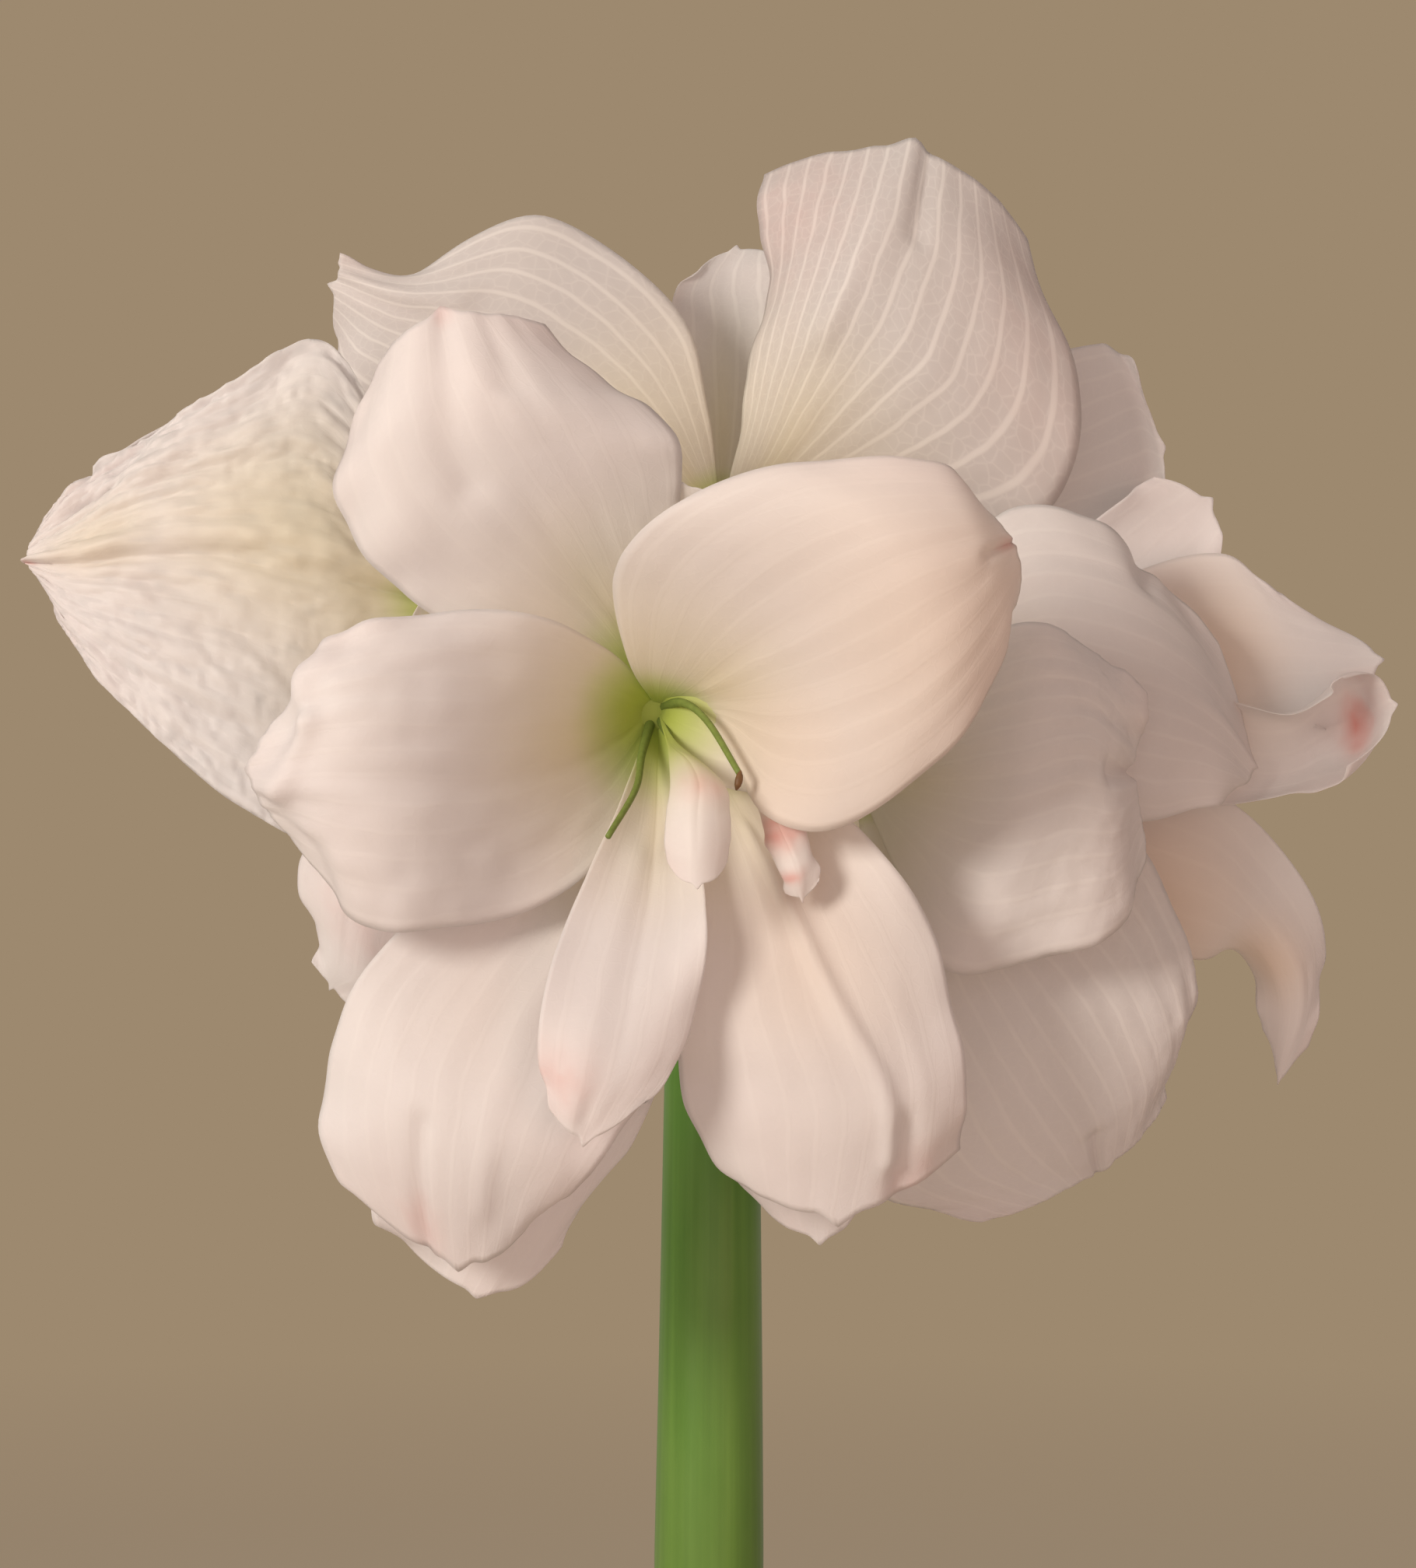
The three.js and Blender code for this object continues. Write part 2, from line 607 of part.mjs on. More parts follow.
function makeScape() {
  const { top, topRadius, headRadius, sides } = SCAPE;
  const [x, y, z] = UMBEL;
  const head = taperedTube(
    [[x, y, top - 6], [x, y, z], [x, y, z + 6]],
    [topRadius, headRadius, topRadius - 1, 4],
    sides,
    6,
  );
  const stalks = Object.values(BLOOMS).map(({ stalk, neck, heart }) => {
    const foot = [0.5 * x + 0.3 * stalk[0][0], 0.3 * stalk[0][1], z - 4];
    const path = [foot, ...stalk, towardHeart({ neck, heart }, -OVARY), neck];
    return taperedTube(path, [3.4, 3.1, 3.1, 4.6, 5.4, 3.6], 8, 8);
  });
  return joined([scapeShaft(0), head, ...stalks]);
}

// A dried bract hangs from the foot of the flower stalks.
function bractSolid(side) {
  const [x, , z] = UMBEL;
  const out = new THREE.Vector3(side * 0.75, 0.66, 0).normalize();
  const wide = new THREE.Vector3(-out.y, out.x, 0);
  const touch = SCAPE.headRadius + GAP + 0.45;
  const rows = [
    [touch, z - 1, 6],
    [touch + 1.5, z - 9, 7],
    [touch + 4.5, z - 18, 6],
    [touch + 6.5, z - 26, 3],
  ].map(([reach, height, halfWidth]) =>
    [-1, 0, 1].map((v) =>
      new THREE.Vector3(x, 0, height)
        .addScaledVector(out, reach - 0.1 * halfWidth * v * v)
        .addScaledVector(wide, halfWidth * v),
    ),
  );
  return blade(rows, { thickness: BLADE, ruffle: 0.8, waves: 2, point: 3, along: 5, across: 4, phase: side });
}

// Blooms

// A petal on the far side of the flower head leaves the heart along the bloom's axis and bends
// to its tip. It widens to its full width at two thirds of its length.
function hiddenPetalRows(bloom, { tip, width }) {
  const heart = new THREE.Vector3(...bloom.heart);
  const axis = new THREE.Vector3(...bloom.axis).normalize();
  const end = new THREE.Vector3(...tip);
  const reach = end.clone().sub(heart);
  const bend = heart.clone().addScaledVector(axis, reach.length() * 0.3);
  const rib = new THREE.QuadraticBezierCurve3(heart, bend, end);
  const across = new THREE.Vector3().crossVectors(axis, reach).normalize();
  const stations = [[0.25, 0.32], [0.48, 0.8], [0.7, 1], [0.88, 0.82], [1, 0.42]];
  return stations.map(([u, share]) => {
    const centre = rib.getPoint(u);
    const inward = new THREE.Vector3().crossVectors(across, rib.getTangent(u));
    const halfWidth = (width / 2) * share;
    return [-1, 0, 1].map((v) =>
      centre
        .clone()
        .addScaledVector(across, v * halfWidth)
        .addScaledVector(inward, -0.3 * halfWidth * Math.abs(v)),
    );
  });
}

function petalSolid(heart, rows, number) {
  const points = rows.map((row) => row.map((p) => (p.isVector3 ? p : new THREE.Vector3(...p))));
  const centre = new THREE.Vector3(...heart);
  const claw = points[0].map((p) => centre.clone().lerp(p, 0.06));
  const length = points.at(-1)[1].distanceTo(centre);
  const widest = Math.max(...points.map((row) => row[0].distanceTo(row[2])));
  return blade([claw, ...points], {
    thickness: BLADE,
    ruffle: length * 0.022,
    waves: 2.4,
    point: length * 0.02,
    along: 7,
    across: widest > 42 ? 6 : 4,
    phase: 2.1 * number,
  });
}

function stamenSolid(grow) {
  const threads = FILAMENTS.map((path) => taperedTube(path, [1.2 + grow, 0.8 + grow, 0.7 + grow], 5, 6));
  const [x, y, z] = FILAMENTS[0].at(-1);
  const antherPath = [[x - 2.5, y + 0.5, z + 1.5], [x, y, z], [x + 2, y, z - 2]];
  const anther = taperedTube(antherPath, [0.8, 1.5, 1.5, 0.8], 6, 4);
  return grow ? joined(threads) : joined([...threads, anther]);
}

function bloomSolid(bloom) {
  const { heart, axis, petals, hidden } = bloom;
  const mouth = new THREE.Vector3(...heart).addScaledVector(new THREE.Vector3(...axis).normalize(), 3.5);
  const path = [towardHeart(bloom, GAP), towardHeart(bloom, 6), heart, mouth.toArray()];
  const tube = taperedTube(path, [3.5, 3.7, 4.6, 5.2, 4.2], 8, 4);
  const shown = Object.values(petals).map((rows, i) => petalSolid(heart, rows, i));
  const others = hidden.map((petal, i) => petalSolid(heart, hiddenPetalRows(bloom, petal), i));
  return filled(joined([tube, ...shown, ...others]));
}

// Assembly

const plant = new THREE.Group();

function place(name, solid, colour, roughness) {
  const material = new THREE.MeshStandardMaterial({ color: colour, roughness, metalness: 0 });
  const mesh = new THREE.Mesh(geometryOf(solid), material);
  mesh.name = name;
  plant.add(mesh);
}

const bulbHole = joined([bulbBody(GAP), ...rootSolids(GAP)]);
const leafSlots = LEAVES.map((leaf) => leafSolid(leaf, GAP));
const bulb = joined([bulbBody(0), ...rootSolids(0)]).subtract(joined([scapeShaft(GAP), ...leafSlots]));

place("pot", makePot(), COLOURS.clay, 0.85);
place("soil", makeSoil(bulbHole), COLOURS.soil, 0.95);
place("bulb", bulb, COLOURS.bulb, 0.7);
LEAVES.forEach((leaf) => place(leaf.name, leafSolid(leaf, 0), COLOURS.leaf, 0.5));
place("scape", makeScape(), COLOURS.green, 0.45);
place("bract_left", bractSolid(-1), COLOURS.papery, 0.8);
place("bract_right", bractSolid(1), COLOURS.papery, 0.8);
Object.entries(BLOOMS).forEach(([name, bloom]) => {
  const solid = bloomSolid(bloom);
  const cut = name === "front" ? solid.subtract(stamenSolid(GAP)) : solid;
  place(`bloom_${name}`, cut, COLOURS.petal, 0.6);
});
place("stamens_front", stamenSolid(0), COLOURS.filament, 0.6);

export default plant;
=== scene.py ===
# %% [markdown]
# Potted amaryllis in bloom
#
# The part is a whole plant in its pot: a bulb with young strap leaves and one thick stalk, which
# carries four double white blooms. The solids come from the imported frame. This lesson builds a
# finer piece over each of them and gives it the finish of the real thing. Petals are the heart of
# it, because a petal is nothing but a thin curved sheet with veins, a soft edge and light that
# shines through it.

from types import SimpleNamespace

import bpy
import numpy as np
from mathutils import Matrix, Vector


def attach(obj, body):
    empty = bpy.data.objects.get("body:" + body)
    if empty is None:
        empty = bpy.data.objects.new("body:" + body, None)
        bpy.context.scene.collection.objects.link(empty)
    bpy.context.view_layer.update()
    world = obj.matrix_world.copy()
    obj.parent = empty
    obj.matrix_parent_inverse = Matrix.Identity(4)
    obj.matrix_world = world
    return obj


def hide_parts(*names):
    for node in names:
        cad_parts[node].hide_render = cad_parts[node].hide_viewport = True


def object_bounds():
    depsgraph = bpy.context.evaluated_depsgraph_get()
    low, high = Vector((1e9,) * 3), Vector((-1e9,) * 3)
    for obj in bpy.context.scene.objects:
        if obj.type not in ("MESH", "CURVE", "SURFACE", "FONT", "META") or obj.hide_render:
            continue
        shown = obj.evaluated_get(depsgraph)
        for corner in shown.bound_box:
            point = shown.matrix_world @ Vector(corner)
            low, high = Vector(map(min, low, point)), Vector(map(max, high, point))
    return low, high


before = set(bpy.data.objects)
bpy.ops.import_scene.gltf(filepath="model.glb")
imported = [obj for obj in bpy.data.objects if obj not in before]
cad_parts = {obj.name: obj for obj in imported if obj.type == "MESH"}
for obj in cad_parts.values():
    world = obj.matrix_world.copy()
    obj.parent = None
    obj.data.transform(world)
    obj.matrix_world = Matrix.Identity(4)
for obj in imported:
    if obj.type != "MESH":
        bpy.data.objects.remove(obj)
cad_low, cad_high = [np.array(corner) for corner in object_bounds()]
MM = 0.001  # one millimetre in the metres that Blender works in
print("solids' box in mm:", np.round(cad_low / MM, 1), np.round(cad_high / MM, 1))

# %% [markdown]
# The camera stands level with the middle of the flower head, as a person's eye does when they
# photograph a plant on a table. It is 800 mm from the stalk. One pixel of a 2016 pixel high picture
# is a known angle, so the lens follows from how many pixels a millimetre takes at that distance.

# %% Camera
CAMERA_DISTANCE = 800 * MM
CAMERA_HEIGHT = 520 * MM
FOCAL_PIXELS = 4800
PICTURE_HEIGHT = 2016
SENSOR = 36  # height of the sensor in mm


def add_object(name, data):
    """A new object of the scene that shows this data."""
    added = bpy.data.objects.new(name, data)
    bpy.context.scene.collection.objects.link(added)
    return added


camera = add_object("camera", bpy.data.cameras.new("camera"))
camera.data.sensor_width = SENSOR
camera.data.lens = FOCAL_PIXELS / PICTURE_HEIGHT * SENSOR
camera.location = (0, -CAMERA_DISTANCE, CAMERA_HEIGHT)
camera.rotation_euler = (np.pi / 2, 0, 0)
bpy.context.scene.camera = camera
print("lens in mm:", round(camera.data.lens, 1))

# %% [markdown]
# Colours are written as the hex codes that a colour picker shows. Blender mixes light in linear
# numbers, so one function turns a code into those, by the sRGB curve. A second one adds a node to
# a material: it sets the node's own settings and plugs in its inputs, and nothing else. The short
# ones after it each name one thing that most materials need, such as noise or a mix of two colours,
# so every material below reads as a list of what feeds what.

# %% Colour and node helpers
def linear(code):
    """Linear red, green, blue and alpha of an sRGB hex code.

    Each channel c from 0 to 1 becomes c / 12.92 up to 0.04045, and ((c + 0.055) / 1.055) ** 2.4 above.
    """
    channels = np.array([int(code[i : i + 2], 16) for i in (1, 3, 5)]) / 255
    high = ((channels + 0.055) / 1.055) ** 2.4
    return (*np.where(channels <= 0.04045, channels / 12.92, high).tolist(), 1.0)


def add_node(tree, kind, inputs=None, **settings):
    """Adds a node of that kind. Each input is a plain value, or the output socket that feeds it."""
    node = tree.nodes.new("ShaderNode" + kind)
    for name, value in settings.items():
        setattr(node, name, value)
    for key, value in (inputs or {}).items():
        if isinstance(value, bpy.types.NodeSocket):
            tree.links.new(value, node.inputs[key])
        else:
            node.inputs[key].default_value = value
    return node


def empty_tree(owner):
    """The node tree of a new material or world, with no node in it."""
    owner.use_nodes = True
    owner.node_tree.nodes.clear()
    return owner.node_tree


def new_material(name):
    """A material without nodes, and its node tree."""
    material = bpy.data.materials.new(name)
    return material, empty_tree(material)


def show(tree, shader):
    """Makes a shader the surface of its material."""
    add_node(tree, "OutputMaterial", {"Surface": shader.outputs[0]})


def plant_place(tree):
    """Where a point lies on the plant, in metres."""
    return add_node(tree, "TexCoord").outputs["Object"]


def sheet_place(tree):
    """Where a point lies on its sheet, across and along."""
    return add_node(tree, "UVMap", uv_map="UVMap").outputs["UV"]


def mark_of(tree, name):
    """The number that each point of the mesh carries under that name."""
    return add_node(tree, "Attribute", attribute_name=name).outputs["Fac"]


def calculate(tree, operation, first, second=0.0, third=0.0):
    """One step of arithmetic on numbers or sockets."""
    return add_node(tree, "Math", {0: first, 1: second, 2: third}, operation=operation).outputs[0]


def times(tree, first, second):
    """Two numbers or sockets multiplied."""
    return calculate(tree, "MULTIPLY", first, second)


def ramp(tree, value, low, high, start=0.0, end=1.0, **settings):
    """A number that runs from start to end while the value runs from low to high."""
    ends = {"Value": value, "From Min": low, "From Max": high, "To Min": start, "To Max": end}
    return add_node(tree, "MapRange", ends, **settings).outputs[0]


def noise(tree, place, scale, detail):
    """Cloudy noise over a place. With three scales the clouds are drawn out along the smaller ones."""
    if isinstance(scale, tuple):
        place, scale = add_node(tree, "Mapping", {"Vector": place, "Scale": scale}).outputs[0], 1.0
    return add_node(tree, "TexNoise", {"Vector": place, "Scale": scale, "Detail": detail}).outputs[0]


def mix_colour(tree, share, first, second):
    """The first colour where share is 0 and the second where it is 1. Either is a code or a socket."""
    values = {"Factor": share}
    for key, colour in ((6, first), (7, second)):
        values[key] = linear(colour) if isinstance(colour, str) else colour
    return add_node(tree, "Mix", values, data_type="RGBA").outputs[2]


def coated(tree, colour, *coats):
    """A colour under coats of others, each given as how much it covers and its own colour."""
    for share, coat in coats:
        colour = mix_colour(tree, share, colour, coat)
    return colour


def bumps(tree, height, strength, distance):
    """The tilt that small bumps give a surface. A height of 1 stands for distance in metres."""
    return add_node(tree, "Bump", {"Height": height, "Strength": strength, "Distance": distance}).outputs[0]


def mix_shaders(tree, share, first, second):
    """The first shader where share is 0 and the second where it is 1."""
    return add_node(tree, "MixShader", {0: share, 1: first.outputs[0], 2: second.outputs[0]})


print("red of middle grey in linear light:", round(linear("#808080")[0], 3))

# %% [markdown]
# The floor is a plain pale sheet that fades out before its edge, so that no line crosses the picture.
# The world has nearly the same tone as the floor. Soft light comes from four panels: the strongest
# high on the left and fairly near, as from a window, a wide weak one in front, a warm one on the
# right, and one behind that shines through the upper petals, which makes a white flower glow.

# %% Floor, world and lights
FLOOR_RADIUS = 3.0
FLOOR_CORNERS = 96
FLOOR_FADES = (0.5, 2.6)  # distances in metres between which the floor fades out
LIGHTS = {  # where in metres, how wide in metres, how many watts, and the colour
    "key": ((-0.76, -0.92, 0.84), 0.42, 11.0, "#fff5e8"),
    "front": ((-0.1, -2.4, 0.55), 1.8, 5.0, "#fff2ea"),
    "fill": ((1.0, -1.9, 0.5), 1.2, 5.5, "#ffbda2"),
    "back": ((-0.5, 1.3, 1.1), 0.8, 2.0, "#fff6ee"),
}
LIT_PLACE = np.array([0, 0, 0.52])

floor_material, tree = new_material("pale floor")
reach = add_node(tree, "VectorMath", {0: plant_place(tree)}, operation="LENGTH").outputs["Value"]
paint = add_node(tree, "BsdfDiffuse", {"Color": linear("#cfc4b4")})
show(tree, mix_shaders(tree, ramp(tree, reach, *FLOOR_FADES), paint, add_node(tree, "BsdfTransparent")))

angle = np.linspace(0, 2 * np.pi, FLOOR_CORNERS + 1)[:-1]
edge = np.stack([FLOOR_RADIUS * np.cos(angle), FLOOR_RADIUS * np.sin(angle), 0 * angle - 0.5 * MM], axis=1)
floor_mesh = bpy.data.meshes.new("floor")
floor_mesh.from_pydata(edge.tolist(), [], [list(range(FLOOR_CORNERS))])
floor_mesh.materials.append(floor_material)
floor = add_object("floor", floor_mesh)

world = bpy.data.worlds.new("studio")
tree = empty_tree(world)
seen = add_node(tree, "Background", {"Color": linear("#9d896f")})
glow = add_node(tree, "Background", {"Color": linear("#9f958d")})
first_ray = add_node(tree, "LightPath").outputs["Is Camera Ray"]
add_node(tree, "OutputWorld", {"Surface": mix_shaders(tree, first_ray, glow, seen).outputs[0]})
bpy.context.scene.world = world
bpy.context.scene.view_settings.view_transform = "Standard"

for name, (place, size, power, colour) in LIGHTS.items():
    lamp = bpy.data.lights.new(name, "AREA")
    lamp.shape, lamp.size, lamp.energy = "DISK", size, power
    lamp.color = linear(colour)[:3]
    light = add_object(name, lamp)
    light.location = place
    towards = LIT_PLACE - np.array(place)
    yaw = np.arctan2(towards[1], towards[0]) - np.pi / 2
    light.rotation_euler = (np.arccos(-towards[2] / np.linalg.norm(towards)), 0, yaw)
print("lights:", ", ".join(LIGHTS))

# %% [markdown]
# Every piece below is a smooth surface worked out with numpy as whole arrays of points. Some
# helpers do it: a smooth curve through given points, gentle unevenness that is the same on each
# run, faces between rows of points, and a mesh of them that rides on the plant. A part is always
# three things: its points in mm, its faces, and its marks, which are numbers for each point.

# %% Curves, unevenness and meshes
def smooth_curve(points, t):
    """Points at t (0 to 1) on a Catmull-Rom curve through rows of points.

    Between b and c, with a before and d after them and s running from 0 to 1, the point is
    half of 2b + (c - a) s + (2a - 5b + 4c - d) s^2 + (3b - a - 3c + d) s^3.
    Past its ends the row of points goes on in a straight line.
    """
    points = np.asarray(points, float)
    row = np.concatenate([2 * points[:1] - points[1:2], points, 2 * points[-1:] - points[-2:-1]])
    x = np.clip(t, 0, 1) * (len(points) - 1)
    k = np.minimum(x.astype(int), len(points) - 2)
    s = (x - k).reshape(x.shape + (1,) * (points.ndim - 1))
    a, b, c, d = (row[k + i] for i in range(4))
    return 0.5 * (2 * b + (c - a) * s + (2 * a - 5 * b + 4 * c - d) * s**2 + (3 * b - a - 3 * c + d) * s**3)


def smooth_step(x, low, high):
    """0 below low, 1 above high, and s * s * (3 - 2 s) between them."""
    s = np.clip((x - low) / (high - low), 0, 1)
    return s * s * (3 - 2 * s)


def unevenness(x, y, seed):
    """Smooth noise from -1 to 1 over a plane, with one bump for each unit of x and y.

    Each corner of a unit square has its own value, the fraction of a large sine. Inside, the four
    values are blended by s * s * (3 - 2 s).
    """

    def corner(i, j):
        return 2 * np.modf(np.abs(np.sin(i * 127.1 + j * 311.7 + seed * 74.7) * 43758.5453))[0] - 1

    i, j = np.floor(x), np.floor(y)
    sx, sy = (w * w * (3 - 2 * w) for w in (x - i, y - j))
    low = corner(i, j) * (1 - sx) + corner(i + 1, j) * sx
    high = corner(i, j + 1) * (1 - sx) + corner(i + 1, j + 1) * sx
    return low * (1 - sy) + high * sy


def unit(vectors):
    """Vectors of length 1 in the same directions."""
    return vectors / np.maximum(np.linalg.norm(vectors, axis=-1, keepdims=True), 1e-12)


def surface_normals(grid):
    """Unit normals of a grid of points: the step along the first index crossed with the second's."""
    return unit(np.cross(np.gradient(grid, axis=0), np.gradient(grid, axis=1)))


def around(radius, height, turn, centre=(0, 0)):
    """Points round an upright axis: radius * cos(turn) across from it, radius * sin(turn) in depth."""
    x, y = centre[0] + radius * np.cos(turn), centre[1] + radius * np.sin(turn)
    return np.stack([x, y, height + 0 * x], axis=-1)


def full_turn(sides):
    """Evenly spaced angles once round, as one row."""
    return 2 * np.pi * np.arange(sides)[None, :] / sides


def grid_faces(rows, columns, wrap=False):
    """Four-cornered faces of a grid whose points are numbered row by row."""
    i = np.arange(rows - 1)[:, None]
    j = np.arange(columns if wrap else columns - 1)[None, :]
    here, below, after = i * columns, (i + 1) * columns, (j + 1) % columns
    return np.stack([here + j, below + j, below + after, here + after], axis=-1).reshape(-1, 4)


def join(parts):
    """Several parts as one. A mark of a part is an array, or one value for all its points."""
    points, faces, marks, count = [], [], {}, 0
    for part_points, part_faces, part_marks in parts:
        points.append(part_points)
        faces.append(part_faces + count)
        for mark, values in part_marks.items():
            shape = (len(part_points), *np.shape(values)[1:])
            marks.setdefault(mark, []).append(np.broadcast_to(values, shape))
        count += len(part_points)
    marks = {mark: np.concatenate(values) for mark, values in marks.items()}
    return np.concatenate(points), np.concatenate(faces), marks


def make_piece(name, part, material, replaced):
    """A smooth-shaded mesh of four-cornered faces that rides on the plant in place of a solid.

    Points outside the box of the solids are brought back to its sides. The mark "uv" holds two
    numbers for each point and becomes its texture coordinates. The material reads the others.
    """
    points, faces, marks = part
    points = np.clip(points * MM, cad_low, cad_high)
    mesh = bpy.data.meshes.new(name)
    mesh.vertices.add(len(points))
    mesh.vertices.foreach_set("co", points.astype(np.float32).ravel())
    mesh.loops.add(faces.size)
    mesh.loops.foreach_set("vertex_index", faces.astype(np.int32).ravel())
    mesh.polygons.add(len(faces))
    mesh.polygons.foreach_set("loop_start", np.arange(0, faces.size, 4, dtype=np.int32))
    mesh.update(calc_edges=True)
    mesh.polygons.foreach_set("use_smooth", np.ones(len(faces), bool))
    for mark, values in marks.items():
        values = values.astype(np.float32)
        if mark == "uv":
            mesh.uv_layers.new(name="UVMap").data.foreach_set("uv", values[faces.ravel()].ravel())
        else:
            mesh.attributes.new(mark, "FLOAT", "POINT").data.foreach_set("value", values)
    mesh.materials.append(material)
    piece = add_object(name, mesh)
    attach(piece, "root")
    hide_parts(replaced)
    print(f"{name}: {2 * len(faces)} triangles")


# %% [markdown]
# A petal of this flower is about half a millimetre thick. It is narrow where it leaves the throat,
# widens, and ends in a blunt tip with a small point. Its two margins and its midrib are three
# curves in space, and the second table holds their points in millimetres. Each of its lines is one
# station on the way from the throat to the tip: a point of one margin, one of the midrib and one of
# the other margin. They are the same points as in the solids. A bloom has a neck, where its ovary
# ends, and a heart, the bottom of its throat. The petals hidden behind the flower head are given by
# where each has its tip and how wide it is.

# %% Petal tables
# green: how far from the heart the throat is green, in mm
BLOOMS = {
    "front": dict(
        stalk=[(-2, -10, 505), (-5, -21, 520)], neck=(-9, -38, 532), heart=(-10, -53, 535),
        axis=(0, -1, 0), green=28.0,
        hidden=[((36, -78, 534), 34)],
    ),
    "left": dict(
        stalk=[(-9, -3, 508), (-21, -7, 532)], neck=(-39, -15, 550), heart=(-50, -21, 556),
        axis=(-0.75, -0.6, 0.1), green=16.0,
        hidden=[((-58, -64, 543), 18), ((-104, 30, 584), 46), ((-98, 24, 524), 44)],
    ),
    "right": dict(
        stalk=[(7, -4, 502)], neck=(22, -13, 516), heart=(31, -18, 521),
        axis=(0.96, -0.25, 0), green=14.0,
        hidden=[((84, 34, 553), 46), ((84, 26, 480), 46), ((66, 8, 452), 38), ((78, -33, 532), 18)],
    ),
    "back": dict(
        stalk=[(2, 5, 512), (3, 8, 535)], neck=(3, 9, 564), heart=(3, 10, 577),
        axis=(0.05, 0.8, 0.6), green=14.0,
        hidden=[
            ((-74, 76, 598), 56), ((78, 74, 594), 56), ((4, 82, 642), 54), ((2, 113, 552), 54),
            ((-26, 76, 626), 24), ((28, 84, 596), 24),
        ],
    ),
}
